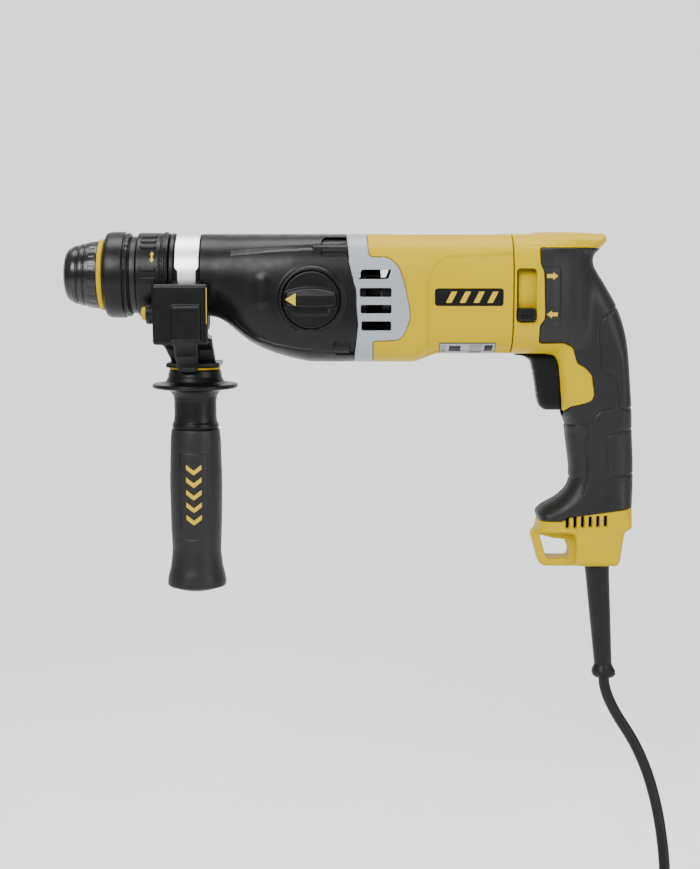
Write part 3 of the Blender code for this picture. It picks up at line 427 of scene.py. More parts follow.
def net_of(values):
    """One point in each grid cell that the surface crosses, and quads between those points."""
    inside = values < 0
    span = [slice(0, -1), slice(1, None)]
    corner = {c: values[span[c[0]], span[c[1]], span[c[2]]] for c in CORNERS}
    total = sum((corner[c] < 0).astype(np.int8) for c in CORNERS)
    mixed = (total > 0) & (total < 8)
    cells = np.argwhere(mixed)
    index = np.full(mixed.shape, -1, dtype=np.int64)
    index[mixed] = np.arange(len(cells))
    sums = np.zeros((len(cells), 3))
    counts = np.zeros(len(cells))
    local = {c: corner[c][mixed] for c in CORNERS}
    for c in CORNERS:
        for axis in range(3):
            if c[axis]:
                continue
            d = tuple(1 if i == axis else c[i] for i in range(3))
            a, b = local[c], local[d]
            cross = (a < 0) != (b < 0)
            t = np.where(cross, a / np.where(cross, a - b, 1.0), 0.0)
            spot = np.array(c, dtype=float) + t[:, None] * np.eye(3)[axis]
            sums += spot * cross[:, None]
            counts += cross
    points = cells + sums / counts[:, None]
    faces = []
    for axis in range(3):
        u, v = [i for i in range(3) if i != axis]
        near = [slice(1, -1)] * 3
        near[axis] = slice(0, -1)
        far = list(near)
        far[axis] = slice(1, None)
        a, b = inside[tuple(near)], inside[tuple(far)]
        starts = np.argwhere(a != b) + [0 if i == axis else 1 for i in range(3)]
        leaving = inside[starts[:, 0], starts[:, 1], starts[:, 2]]
        quad = []
        for du, dv in ((-1, -1), (0, -1), (0, 0), (-1, 0)):
            at = starts.copy()
            at[:, u] += du
            at[:, v] += dv
            quad.append(index[at[:, 0], at[:, 1], at[:, 2]])
        quad = np.stack(quad, axis=1)
        flip = leaving if axis == 1 else ~leaving
        quad[flip] = quad[flip][:, ::-1]
        faces.append(quad)
    return points, np.concatenate(faces)


def gradient(field, p, reach=0.04):
    slopes = []
    for axis in range(3):
        shift = np.zeros(3)
        shift[axis] = reach
        slopes.append((field(p + shift) - field(p - shift)) / (2 * reach))
    return np.stack(slopes, axis=1)


def pull_onto(field, points, limit, rounds):
    for _ in range(rounds):
        slope = gradient(field, points)
        move = -field(points)[:, None] * slope / np.maximum((slope ** 2).sum(axis=1), 0.05)[:, None]
        length = np.linalg.norm(move, axis=1)
        move *= np.minimum(1.0, limit / np.maximum(length, TINY))[:, None]
        points = points + move
    return points


def moulding(name, field, low, high, step, material, keep, body, *nodes, slot=None):
    """Mesh a field and place it on its body: a net on the grid, pulled onto the surface, thinned
    out to the share to keep, with the surface's own normals."""
    step = step * 1.0
    low = np.array(low, dtype=float) - PADDING * step
    shape = np.ceil((np.array(high, dtype=float) + PADDING * step - low) / step).astype(int) + 1
    values = sample_grid(field, low, shape, step)
    points, faces = net_of(values)
    points = pull_onto(field, low + points * step, 0.6 * step, 2)
    piece = make_mesh(name, points, faces.tolist(), material)
    piece.modifiers.new("thin", 'DECIMATE').ratio = keep
    graph = bpy.context.evaluated_depsgraph_get()
    mesh = bpy.data.meshes.new_from_object(piece.evaluated_get(graph))
    piece.modifiers.clear()
    piece.data = mesh
    places = np.empty(len(mesh.vertices) * 3)
    mesh.vertices.foreach_get("co", places)
    places = pull_onto(field, places.reshape(-1, 3) / MM, 0.3 * step, 1)
    mesh.vertices.foreach_set("co", (places * MM).ravel())
    slope = gradient(field, places)
    slope /= np.maximum(np.linalg.norm(slope, axis=1), 1e-6)[:, None]
    mesh.update()
    mesh.shade_smooth()
    mesh.normals_split_custom_set_from_vertices(slope.tolist())
    return place(piece, body, *nodes, slot=slot)


MARK_EDGE = 0.05
MARK_DEPTH = 1.2


def decal(name, outline, field, low_y, high_y, material, body, step=0.35, lift=0.2, slot=None):
    """A printed or inlaid mark: an outline in the side view, standing just proud of a surface."""
    shape = Outline(outline, margin=3.0, step=0.1)
    low_x, low_z = shape.low + 1.0
    high_x, high_z = shape.low + np.array(shape.table.shape) * shape.step - 1.0

    def mark(p):
        depth = field(p)
        layer = round_max(depth - lift, -(depth + MARK_DEPTH), MARK_EDGE)
        return round_max(layer, shape(p), MARK_EDGE)
    moulding(name, mark, (low_x, low_y, low_z), (high_x, high_y, high_z), step, material, 0.6, body,
             slot=slot)


# ---------------------------------------------------------------- studio

CAMERA_AIM = (-0.180, 0.0, 0.004)
CAMERA_AWAY = 1.15
CAMERA_PITCH = math.radians(6.5)
LIGHTS = [
    ("key_light", (-0.9, -1.5, 1.1), (-0.18, 0.0, 0.0), (1.1, 0.8), 46.0),
    ("fill_light", (1.3, -1.2, 0.5), (-0.15, 0.0, 0.0), (0.9, 1.2), 18.0),
    ("top_light", (-0.2, 0.2, 1.6), (-0.18, 0.0, 0.0), (1.6, 0.8), 42.0),
]


def aimed(name, data, spot, target):
    """A light or camera at a spot, looking at its target."""
    thing = bpy.data.objects.new(name, data)
    thing.location = spot
    thing.rotation_euler = (Vector(target) - Vector(spot)).to_track_quat('-Z', 'Y').to_euler()
    bpy.context.collection.objects.link(thing)
    return thing


def make_area_light(name, spot, target, size, power):
    data = bpy.data.lights.new(name, 'AREA')
    data.shape = 'RECTANGLE'
    data.size, data.size_y = size
    data.energy = power
    return aimed(name, data, spot, target)


def build_studio():
    profile = [(-3000.0, FLOOR_Z), (900.0, FLOOR_Z)]
    for i in range(1, 17):
        angle = math.pi / 2 * i / 16
        profile.append((900.0 + 900.0 * math.sin(angle), FLOOR_Z + 900.0 * (1 - math.cos(angle))))
    profile.append((1800.0, 4000.0))
    points = [(x, y, z) for y, z in profile for x in (-4000.0, 4000.0)]
    faces = [(2 * i, 2 * i + 1, 2 * i + 3, 2 * i + 2) for i in range(len(profile) - 1)]
    sweep = moulded("studio_paper", (0.97, 0.97, 0.98), 0.9, grain=300.0, depth=0.05, tint=0.01,
                    edge_wear_and_highlight=0.0)
    floor = make_mesh("studio_floor", points, faces, sweep)
    lights = [make_area_light(*light) for light in LIGHTS]
    world = bpy.data.worlds.new("studio_air")
    world.use_nodes = True
    air = world.node_tree.nodes["Background"]
    air.inputs["Color"].default_value = (0.93, 0.95, 0.97, 1.0)
    air.inputs["Strength"].default_value = 0.42
    bpy.context.scene.world = world
    data = bpy.data.cameras.new("studio_camera")
    data.lens = 66.2
    data.sensor_width = 36.0
    data.dof.use_dof = False
    spot = (CAMERA_AIM[0], -CAMERA_AWAY * math.cos(CAMERA_PITCH),
            CAMERA_AIM[2] + CAMERA_AWAY * math.sin(CAMERA_PITCH))
    camera = aimed("studio_camera", data, spot, CAMERA_AIM)
    bpy.context.scene.camera = camera


# ---------------------------------------------------------------- mains lead

CORD_ROUTE = [
    (5.7, 0.0, -174.7), (6.4, 0.0, -181.0), (8.9, 0.0, -189.0), (12.6, 0.0, -197.0),
    (17.0, -0.2, -204.8), (22.0, -1.2, -212.5), (27.2, -3.2, -221.0), (32.2, -6.4, -231.0),
    (37.2, -11.6, -244.0), (41.2, -17.8, -259.0), (44.0, -24.2, -275.0), (45.8, -30.0, -292.0),
    (46.7, -34.0, -308.0), (47.0, -35.4, -321.0), (47.0, -34.3, -330.7), (47.0, -31.1, -338.4),
    (47.0, -26.0, -345.0), (47.0, -19.4, -350.1), (47.0, -11.7, -353.3), (46.9, -2.0, -354.4),
]
TAIL_ROUTE = [
    (-57.5, -39.5, -379.0), (-49.5, -52.2, -378.9), (-39.5, -65.0, -378.3), (-24.5, -78.0, -375.3),
    (-11.5, -85.0, -371.8), (2.0, -88.6, -368.4), (15.8, -89.4, -366.5), (20.0, -89.4, -366.5),
]
CORD_R = 4.0
COIL_X = -11.6
COIL_START = 57.5       # radius of the outermost turn
COIL_PITCH = 8.25       # step between turns of one layer
LAYER_TOP = -354.4
LAYER_DROP = 8.2
LAYERS = 4


def coil_points():
    """Four flat spirals stacked on each other, wound inwards and outwards in turn."""
    turns = 11 + 205.0 / 360.0
    per_layer = turns / LAYERS
    points = []
    steps = int(turns * 30)
    for i in range(steps + 1):
        turn = turns * i / steps
        leg = min(int(turn / per_layer), LAYERS - 1)
        along = turn - leg * per_layer
        inward = COIL_START - COIL_PITCH * along
        outward = COIL_START - COIL_PITCH * (per_layer - along)
        radius = inward if leg % 2 == 0 else outward
        fallen = 0.0
        for change in range(1, LAYERS):
            t = min(1.0, max(0.0, (turn - change * per_layer) / 0.26 + 0.5))
            fallen += t * t * (3 - 2 * t)
        angle = 2 * math.pi * turn
        points.append((COIL_X + radius * math.cos(angle), radius * math.sin(angle),
                       LAYER_TOP - LAYER_DROP * fallen))
    return points[1:]


def smooth_path(points, spacing=3.0):
    """Points close together along a curve that passes through every given point."""
    p = np.array(points, dtype=float)
    padded = np.vstack([2 * p[0] - p[1], p, 2 * p[-1] - p[-2]])
    result = []
    for i in range(len(p) - 1):
        a, b, c, d = padded[i:i + 4]
        count = max(1, int(round(np.linalg.norm(c - b) / spacing)))
        for k in range(count):
            t = k / count
            result.append(0.5 * (2 * b + (c - a) * t + (2 * a - 5 * b + 4 * c - d) * t * t
                                 + (3 * b - a - 3 * c + d) * t ** 3))
    result.append(p[-1])
    return np.array(result)


def build_lead():
    path = smooth_path(CORD_ROUTE + coil_points() + TAIL_ROUTE)
    curve = bpy.data.curves.new("mains_lead", 'CURVE')
    curve.dimensions = '3D'
    curve.bevel_depth = CORD_R * MM
    curve.bevel_resolution = 4
    curve.use_fill_caps = True
    spline = curve.splines.new('POLY')
    spline.points.add(len(path) - 1)
    for point, spot in zip(spline.points, path * MM):
        point.co = (*spot, 1.0)
    curve.materials.append(LEAD)
    lead = bpy.data.objects.new("mains_lead", curve)
    bpy.context.collection.objects.link(lead)
    place(lead, "tool", "cord", "cord_coil", "cord_tail")
    length = float(np.linalg.norm(np.diff(path, axis=0), axis=1).sum()) * MM
    return lead, length


def build_plug():
    centre = (16.3, -89.4, FLOOR_Z + 18.5)
    ribs = [(0.0, 0.0), (0.0, 5.4)]
    for i in range(6):
        x = 2.0 + i * 2.0
        top, foot = 5.8 + 0.2 * i, 5.0 + 0.2 * i
        ribs += [(x, top), (x + 1.2, top), (x + 1.4, foot), (x + 1.9, foot)]
    profile = ribs + [(14.5, 8.0), (18.0, 15.0), (21.0, 18.2), (24.0, 18.4), (27.0, 17.7), (33.0, 17.7),
                      (34.5, 18.4), (36.2, 18.2), (37.0, 17.0), (37.0, 0.0)]

    def thumb_flats(distance, angles):
        reach = max(0.0, min(1.0, (distance - 16.0) / 6.0))
        return reach * 1.6 * np.maximum(0.0, np.abs(np.sin(angles)) - 0.82) / 0.18
    pieces = [turned("mains_plug", profile, LEAD, "tool", "plug_body", centre=centre, segments=96,
                     soften=0.6, flute=thumb_flats)]
    pin = [(36.0, 0.0), (36.0, 2.4), (54.0, 2.4), (56.0, 1.4), (56.0, 0.0)]
    for side in (-1, 1):
        spot = (centre[0], centre[1] + side * 9.5, centre[2])
        pieces.append(turned("plug_pin_%d" % (side + 1), pin, STEEL, "tool", centre=spot, segments=32))
    return pieces


def build_tie():
    """A ribbed strap around one side of the coil, with its buckle on the outside."""
    inner = [(-74.5, -350.0), (-39.8, -350.0), (-39.8, -383.5), (-74.5, -383.5)]
    ring = Outline(soften_corners(inner, 6.0), margin=5.0, step=0.2)

    def strap(p):
        around = ring(p)
        band = np.maximum(around - 1.35, -around)
        width = 7.0 + 0.25 * np.cos(p[:, 0] * 2.4 + p[:, 2] * 2.4)
        flat = round_max(band, np.abs(p[:, 1]) - width, 0.3)
        buckle = brick(p, (-76.3, -9.0, -372.0), (-74.6, 9.0, -360.0), 0.8)
        tail = brick(p, (-60.0, -6.4, -350.2), (-40.0, 6.4, -348.5), 0.5)
        return np.minimum(np.minimum(flat, buckle), tail)
    return moulding("lead_tie", strap, (-76.4, -9.5, -385.0), (-38.0, 9.5, -348.4), 0.6, BLACK, 0.5,
                    "tool", "cord_tie")


# ---------------------------------------------------------------- nose and tool holder

def build_nose():
    def skirt(distance, angles):
        share = 1.0 if -363.3 < distance < -358.8 else 0.0
        return share * 0.35 * np.clip(np.cos(angles * 20) * 2 - 0.6, 0.0, 1.0)
    turned("nose_cap_looks", [
        (-382.2, 6.6), (-382.2, 11.0), (-381.5, 14.2), (-380.2, 17.0), (-378.2, 18.8), (-376.2, 19.6),
        (-375.8, 20.4), (-372.6, 21.0), (-372.3, 20.2), (-371.4, 20.3), (-371.1, 21.6), (-368.0, 22.3),
        (-367.7, 21.6), (-366.8, 21.7), (-366.4, 22.8), (-363.6, 23.3), (-361.0, 23.7), (-359.0, 24.0),
        (-357.5, 24.2), (-357.5, 15.5), (-376.0, 13.6), (-380.0, 12.6), (-380.0, 7.4), (-381.2, 6.6)],
        GLOSSY, "chuck", "nose_cap", soften=0.45, flute=skirt)
    turned("trim_ring_looks", [
        (-357.2, 15.6), (-357.2, 24.4), (-356.6, 25.1), (-354.0, 25.2), (-353.4, 24.4), (-353.2, 22.0),
        (-352.8, 22.0), (-352.8, 15.6)], YELLOW, "chuck", "yellow_trim_ring")

    def rear_band(distance, angles):
        return (0.25 if distance > -337.6 else 0.0) * np.clip(np.cos(angles * 26), 0.0, 1.0)
    turned("release_sleeve_looks", [
        (-352.5, 15.6), (-352.5, 27.6), (-352.0, 28.9), (-351.0, 29.8), (-349.0, 30.3), (-345.0, 30.5),
        (-339.4, 30.4), (-338.8, 30.0), (-338.7, 28.9), (-337.6, 28.8), (-337.4, 29.6), (-335.6, 29.4),
        (-335.0, 29.0), (-335.0, 27.5), (-349.0, 27.5), (-349.0, 15.6)],
        BLACK, "sleeve", "release_sleeve", segments=208, flute=rear_band)
    turned("chuck_body_looks", [
        (-379.7, 5.2), (-379.7, 12.2), (-361.0, 12.2), (-361.0, 15.2), (-341.2, 15.2), (-341.2, 26.8),
        (-340.9, 27.1), (-336.0, 27.1), (-335.4, 26.5), (-334.2, 26.5), (-333.8, 27.1), (-330.1, 27.1),
        (-329.8, 26.8), (-329.8, 11.8), (-355.3, 11.8), (-355.3, 5.2)],
        DARK_STEEL, "chuck", "chuck_body", soften=0.25)


def ring_field(p):
    """The quick-change ring: grip bars in groups around it and a slim rib near its rear edge."""
    x = p[:, 0]
    away = np.hypot(p[:, 1], p[:, 2] - SPINDLE_Z)
    angle = np.arctan2(p[:, 2] - SPINDLE_Z, -p[:, 1])
    body = round_max(away - 29.7, np.abs(x + 318.15) - 11.3, 1.2)
    rib = round_max(away - 30.5, np.abs(x + 309.9) - 0.9, 0.4)
    groove = np.hypot(away - 29.9, x + 312.6) - 0.7
    body = np.maximum(np.minimum(body, rib), -groove)
    third = np.mod(angle - math.radians(52.0) + math.pi / 3, 2 * math.pi / 3) - math.pi / 3
    for shift in (-0.19, 0.0, 0.19, -0.755, -1.0):
        around = (third - shift + math.pi) % (2 * math.pi) - math.pi
        side = away * around
        bar = round_max(round_max(np.abs(side) - 1.5, np.abs(x + 320.6) - 5.4, 0.7), away - 30.9, 0.5)
        body = np.minimum(body, np.maximum(bar, 25.0 - away))
    return round_max(body, 14.5 - away, 0.3)


def build_change_ring():
    moulding("quick_change_ring_looks", ring_field, (-329.5, -31.0, SPINDLE_Z - 31.0),
             (-306.8, 31.0, SPINDLE_Z + 31.0), 0.75, BLACK, 0.5, "change_ring", "quick_change_ring")
    half = [(-1.7, 1.5), (-0.7, 1.5), (-0.7, -1.5), (-1.7, -1.5)]
    outline = [(0.0, 3.8)] + half + [(0.0, -3.8)] + [(-a, b) for a, b in half[::-1]]
    arrow = [(a - 317.6, b + 131.0) for a, b in outline]
    decal("turn_mark", arrow, ring_field, -31.0, -20.0, PRINT_YELLOW, "change_ring", step=0.3)


def build_collar():
    turned("neck_collar_looks", [
        (-306.4, 16.6), (-306.4, 28.6), (-305.6, 29.4), (-303.2, 29.4), (-302.7, 27.1), (-285.2, 27.0),
        (-284.9, 26.6), (-284.9, 21.8), (-297.3, 21.8), (-297.3, 16.6)],
        BLACK, "tool", "neck_collar", soften=0.3)


# ---------------------------------------------------------------- gearbox cover

COVER_HULL = Hull([
    (-286.0, 89.2, 147.2, 29.0, 2.0), (-279.0, 89.0, 147.2, 29.2, 2.0), (-272.8, 87.6, 147.2, 29.6, 2.0),
    (-265.7, 83.0, 147.2, 31.2, 2.2), (-258.6, 77.0, 147.2, 33.4, 2.4), (-251.5, 71.6, 147.2, 35.4, 2.6),
    (-244.4, 67.7, 147.2, 36.5, 2.7), (-234.0, 63.4, 147.2, 37.3, 2.9), (-220.0, 59.4, 147.2, 38.0, 3.1),
    (-208.6, 57.2, 147.2, 38.0, 3.2), (-200.0, 57.0, 147.2, 38.0, 3.2), (-134.0, 57.0, 147.2, 38.4, 3.1),
    (-127.0, 59.6, 147.2, 38.5, 3.0), (-119.0, 62.8, 147.2, 38.5, 3.0), (-66.0, 62.8, 147.2, 38.5, 3.0)])
CREASE = [(-262.0, 133.5), (-236.5, 135.9), (-200.7, 138.0)]
LOWER_RIM = [(-268.0, 92.0), (-255.0, 80.5), (-244.0, 74.0), (-232.0, 70.0), (-215.0, 67.0),
             (-192.0, 66.0)]
SCREWS = [(-27.0, 134.5), (27.0, 134.5), (-27.0, 69.8), (27.0, 69.8)]


def edge_x(z):
    """Where the black cover ends and the grey vents begin, by height."""
    return np.interp(z, [50.0, 58.9, 84.4, 108.5, 127.7, 144.8, 150.0],
                     [-178.5, -177.2, -174.5, -175.9, -180.7, -182.1, -182.4])


def screw_distance(p):
    """Distance from the nearest of the four gearbox screws' axes."""
    return np.min([np.hypot(p[:, 1] - y, p[:, 2] - z) for y, z in SCREWS], axis=0)


def cover_field(p):
    """The gearbox cover: a hollow hull with its knob pad, pockets, creases and screw bosses."""
    x, y, z = p.T
    body = COVER_HULL(p) + groove(line_distance(p, CREASE), 1.8, 0.7) * (np.abs(y) > 15)
    body = body + groove(line_distance(p, LOWER_RIM), 1.3, 0.6) * (np.abs(y) > 15)
    pad = rod(p, 1, (KNOB_X, 0.0, KNOB_Z), 22.5, -39.6, -28.0, 0.9)
    body = fillet_min(body, pad, 2.5)
    capsule_pad = capsule(p, (-240.6, -32.6, 101.0), (-240.0, -32.4, 114.5), 4.6)
    body = fillet_min(body, capsule_pad, 3.0)
    recess = rod(p, 1, (KNOB_X, 0.0, KNOB_Z), 20.1, -60.0, -37.0, 0.2)
    body = round_max(body, -recess, 0.4)
    flat = p * FLAT
    pockets = np.minimum(brick(flat, (-199.6, -9.0, 130.6), (-160.0, 9.0, 144.0), 3.2),
                         brick(flat, (-191.8, -9.0, 64.0), (-160.0, 9.0, 73.3), 3.2))
    pockets = np.maximum(pockets, 12.0 - np.abs(y))
    body = round_max(body, -round_max(pockets, -(COVER_HULL(p) + 1.8), 0.3), 0.4)
    past_vents = x - edge_x(z) + COVER_GAP
    body = round_max(body, np.maximum(-284.6 - x, past_vents), 0.5)
    inside = np.maximum(COVER_HULL(p, 2.9), -279.0 - x)
    mouth = np.hypot(y, z - SPINDLE_Z) - 20.0
    body = np.maximum(body, -np.minimum(inside, mouth))
    off = screw_distance(p)
    boss = np.maximum(off - 5.3, np.abs(x + 193.0) - 13.0)
    boss = np.maximum(boss, np.maximum(COVER_HULL(p), past_vents))
    holes = np.minimum(np.maximum(off - 4.4, x + 201.0), off - 2.4)
    holes = np.maximum(np.maximum(holes, -232.0 - x), COVER_HULL(p) + 2.3)
    return np.maximum(np.minimum(body, boss), -holes)


def build_cover():
    moulding("gearbox_cover_looks", cover_field, (-284.6, -40.0, 56.6), (-174.3, 38.6, 147.4),
             0.95, BLACK, 0.38, "tool", "gearbox_cover")


# ---------------------------------------------------------------- vents and motor housing

GREY_PANEL = area([
    (-230.0, 30.0), (-163.7, 30.0), (-164.1, 73.0), (-146.4, 73.6), (-142.4, 77.6), (-138.4, 88.0),
    (-138.4, 94.0), (-142.1, 112.0), (-146.2, 124.6), (-153.0, 130.6), (-166.9, 131.1), (-169.4, 160.0),
    (-230.0, 160.0)], [0, 0, 2, 4, 3, 4, 4, 4, 4, 4, 3, 0, 0], 6.0)
SLOTS = [(116.0, 122.4, -152.6), (103.8, 109.8, -151.4), (92.4, 98.2, -151.4), (80.6, 86.8, -151.6)]


def vent_field(p):
    """The grey ring behind the cover, with its side panels, air slots and screw bosses."""
    x, y, z = p.T
    front = edge_x(z) + COVER_GAP - x
    body = round_max(np.maximum(COVER_HULL(p), -COVER_HULL(p, 2.8)), front, 0.4)
    body = round_max(body, GREY_PANEL(p) + COVER_GAP, 0.4)
    off = screw_distance(p)
    bosses = np.maximum(off - 5.0, np.maximum(front, np.maximum(x + 167.0, COVER_HULL(p))))
    body = np.maximum(np.minimum(body, bosses), 2.4 - off)
    for low, high, end in SLOTS:
        start = edge_x((low + high) / 2) + (5.5 if low > 110 else 2.6)
        lean = (z - (low + high) / 2) * (-0.35 if low > 110 else 0.0)
        q = np.stack([x + lean, y * 0.0, z], axis=1)
        slot = brick(q, (start, -9.0, low), (end, 9.0, high), 1.0)
        body = round_max(body, -np.maximum(slot, 24.0 - np.abs(y)), 0.5)
    return body


def shroud_field(p):
    """The air guide behind the lower slots, open at the top."""
    x, y, z = p.T
    wall = np.abs(np.hypot(y, z - MOTOR_Z) - 32.8) - 0.8
    return round_max(round_max(wall, np.abs(x + 154.6) - 3.2, 0.3), z - 114.0, 0.3)


def housing_field(p):
    """The motor housing, open at both ends, with a sunk panel on each side and on its top."""
    x, y, _ = p.T
    body = COVER_HULL(p) + 0.9 * np.clip(0.5 - SIDE_PANEL(p) / 1.4, 0.0, 1.0) * (np.abs(y) > 20)
    top = brick(p, (-150.0, -16.0, 146.2), (-76.0, 16.0, 160.0), 0.6)
    body = round_max(body, -np.maximum(top, 0.6 - np.abs(np.abs(y) - 13.0)), 0.3)
    body = np.maximum(body, -COVER_HULL(p, 2.9))
    body = round_max(body, -(GREY_PANEL(p) - COVER_GAP), 0.45)
    return round_max(body, x + 67.12, 0.5)


SIDE_PANEL = area([
    (-126.0, 50.0), (-126.0, 118.0), (-118.0, 131.0), (-40.0, 135.0), (-40.0, 50.0)],
    [0, 6, 7, 0, 0], 8.0, soften=2)


def build_housing():
    moulding("vent_ring_looks", vent_field, (-182.4, -38.6, 56.6), (-138.0, 38.6, 147.4), 0.85, GREY,
             0.45, "tool", "vent_ring")
    moulding("fan_shroud", shroud_field, (-158.2, -34.0, 71.0), (-151.0, 34.0, 114.4), 0.8, BLACK, 0.4,
             "tool")
    moulding("motor_housing_looks", housing_field, (-169.8, -38.7, 56.6), (-67.0, 38.7, 147.4), 1.0,
             YELLOW, 0.35, "tool", "motor_housing")
    plaque = soften_corners([(-121.5, 97.4), (-121.5, 109.6), (-74.0, 109.6), (-74.0, 97.4)], 2.5)
    decal("side_plaque", plaque, housing_field, -39.5, -33.0, PRINT_BLACK, "tool", step=0.4, lift=0.3)
    for index, x in enumerate((-114.0, -104.5, -95.0, -85.5)):
        slash = [(x, 99.6), (x + 4.0, 99.6), (x + 8.0, 107.4), (x + 4.0, 107.4)]
        decal("plaque_stripe_%d" % (index + 1), slash, housing_field, -39.5, -33.0, PRINT_YELLOW,
              "tool", lift=0.5)
    for index, (word, low_x, high_x, low_z, high_z, material) in enumerate([
            ("frame", -117.8, -78.2, 63.8, 71.9, PRINT_BLACK),
            ("face", -117.2, -78.8, 63.8, 71.2, GREY),
            ("patch_1", -116.4, -112.8, 64.4, 69.6, LABEL),
            ("patch_2", -110.8, -102.6, 65.2, 69.2, PRINT_BLACK),
            ("patch_3", -96.5, -88.0, 64.2, 70.2, LABEL),
            ("patch_4", -86.0, -80.4, 65.6, 69.6, PRINT_BLACK)]):
        corners = [(low_x, low_z), (low_x, high_z), (high_x, high_z), (high_x, low_z)]
        decal("label_" + word, corners, housing_field, -39.5, -12.0, material, "tool", step=0.4,
              lift=0.1 + 0.12 * index, slot="aluminium")


# ---------------------------------------------------------------- rear handle

CAP_HULL = Hull([
    (-66.6, 62.8, 147.2, 38.5, 3.0), (-50.0, 62.8, 147.2, 38.2, 3.0), (-38.0, 63.2, 147.5, 35.6, 3.0),
    (-27.0, 63.6, 147.8, 30.0, 2.9), (-18.0, 64.2, 147.9, 24.0, 2.8), (-11.0, 65.0, 147.9, 16.5, 2.6),
    (-4.0, 67.0, 147.5, 8.0, 2.4)])
HANDLE_SIDE = area([
    (-52.0, 148.3), (-28.8, 148.6), (0.3, 147.4), (1.9, 143.0), (-2.4, 137.6), (-8.0, 131.7),
    (-7.9, 126.1), (-4.9, 120.4), (2.4, 109.1), (9.0, 97.7), (13.5, 86.3), (16.6, 74.9), (18.3, 63.4),
    (21.1, 28.9), (22.3, 5.8), (23.4, -14.5), (23.7, -29.1), (23.3, -43.7), (22.5, -63.2), (17.4, -65.0),
    (14.4, -87.8), (12.4, -90.7), (-41.0, -90.7), (-44.1, -87.8), (-49.8, -67.4), (-45.0, -62.0),
    (-44.6, -56.1), (-46.8, -51.4), (-42.5, -46.6), (-31.7, -40.8), (-25.3, -34.9), (-22.5, -29.1),
    (-22.7, -17.4), (-24.3, -5.8), (-25.9, 5.8), (-26.6, 14.8), (-30.1, 21.1), (-31.2, 37.0),
    (-32.8, 54.8), (-35.0, 60.5), (-41.0, 63.2), (-52.0, 64.5)], 3.0, 30.0, soften=3)
REGION = area([
    (-48.6, 137.3), (-48.5, 126.2), (-46.0, 121.4), (-44.8, 88.6), (-48.6, 83.7), (-48.5, 71.3),
    (-29.2, 71.1), (-22.8, 67.6), (-19.8, 56.4), (-14.1, 53.5), (-9.1, 47.9), (-7.0, 33.8),
    (-9.0, 29.6), (-14.4, 27.6), (-24.5, 25.5), (-28.5, 21.3), (-36.0, 18.2), (-70.0, 18.0),
    (-70.0, -56.3), (-28.6, -56.3), (-25.6, -53.7), (24.0, -47.0), (60.0, -47.0), (60.0, 137.3)],
    2.0, 8.0)
HANG_HOLE = area([
    (-44.0, -67.2), (-34.6, -69.8), (-24.6, -70.8), (-21.6, -80.2), (-22.6, -84.4), (-38.8, -84.4)],
    1.6, 20.0)
SEAMS = [
    [(14.0, 98.0), (6.7, 94.0), (-3.4, 84.2), (-2.1, 51.8), (2.9, 49.6), (7.9, 46.1), (9.5, 35.5),
     (11.5, 24.8), (24.0, 24.4)],
    [(8.0, 24.6), (-3.7, 21.8), (-8.9, 12.5), (-12.6, -1.1), (-11.5, -20.5), (-14.0, -36.0)],
    [(24.0, 9.4), (9.0, 6.8), (2.6, 3.9), (2.0, -2.5), (3.1, -19.0), (7.4, -24.1), (24.0, -23.3)],
    [(-40.0, 12.2), (-26.0, 12.4), (-20.0, 12.8), (-8.8, 12.7)],
    [(-40.0, -27.0), (-26.0, -26.8), (-16.0, -26.6), (-12.2, -26.2)],
]
CAP_SPLIT = -66.58


def handle_body(p, inset=0.0):
    """The whole outside of the rear handle: the cap behind the motor blended into the grip."""
    z = p[:, 2]
    inward = -HANDLE_SIDE(p) - inset
    rounding = np.interp(z, [-90.0, -62.0, -52.0, -30.0, 6.0, 19.0, 60.0, 74.0, 100.0, 150.0],
                         [7.0, 8.0, 11.0, 16.0, 15.0, 8.0, 8.0, 13.0, 17.0, 10.0])
    wide = np.interp(
        z, [-90.7, -86.0, -64.0, -56.0, -46.0, -30.0, 20.0, 60.0, 95.0, 130.0, 143.0, 148.6],
        [17.0, 18.6, 20.0, 19.8, 18.8, 17.0, 17.3, 18.3, 19.2, 19.3, 18.6, 16.0]) - inset
    power = np.interp(z, [-62.0, -50.0, 110.0, 140.0], [3.4, 2.3, 2.3, 2.8])
    web = rounded_edge(inward, p[:, 1], rounding, wide, power)
    cap = round_max(CAP_HULL(p, inset), p[:, 0] + 11.5, 4.0)
    return fillet_min(cap, web, np.interp(z, [60.0, 75.0, 110.0, 134.0], [2.0, 9.0, 9.0, 1.0]))


def handle_openings(p, side):
    """Trigger opening, lead exit, hang hole with its side slots and, on the left, the lever's slot."""
    y = p[:, 1]
    trigger_way = brick(p, (-60.0, -9.1, 19.5), (-22.5, 9.1, 62.8), 1.5)
    lead_way = np.maximum(np.hypot(p[:, 0] + 0.9, y) - 9.2, p[:, 2] + 80.0)
    openings = np.minimum(np.minimum(trigger_way, lead_way), HANG_HOLE(p))
    if side < 0:
        openings = np.minimum(openings, brick(p, (-64.8, -70.0, 86.3), (-51.4, -20.0, 123.2), 2.4))
    return openings


def base_slots(p):
    """Six upright air slots in a row on each side of the base."""
    slots = np.full(len(p), FAR)
    for index in range(6):
        x = -25.1 + 5.41 * index
        slots = np.minimum(slots, brick(p * FLAT, (x - 1.2, -9.0, -61.2 + 0.25 * index),
                                        (x + 1.2, 9.0, -53.0 + 0.2 * index), 1.0))
    return np.maximum(slots, 12.0 - np.abs(p[:, 1]))


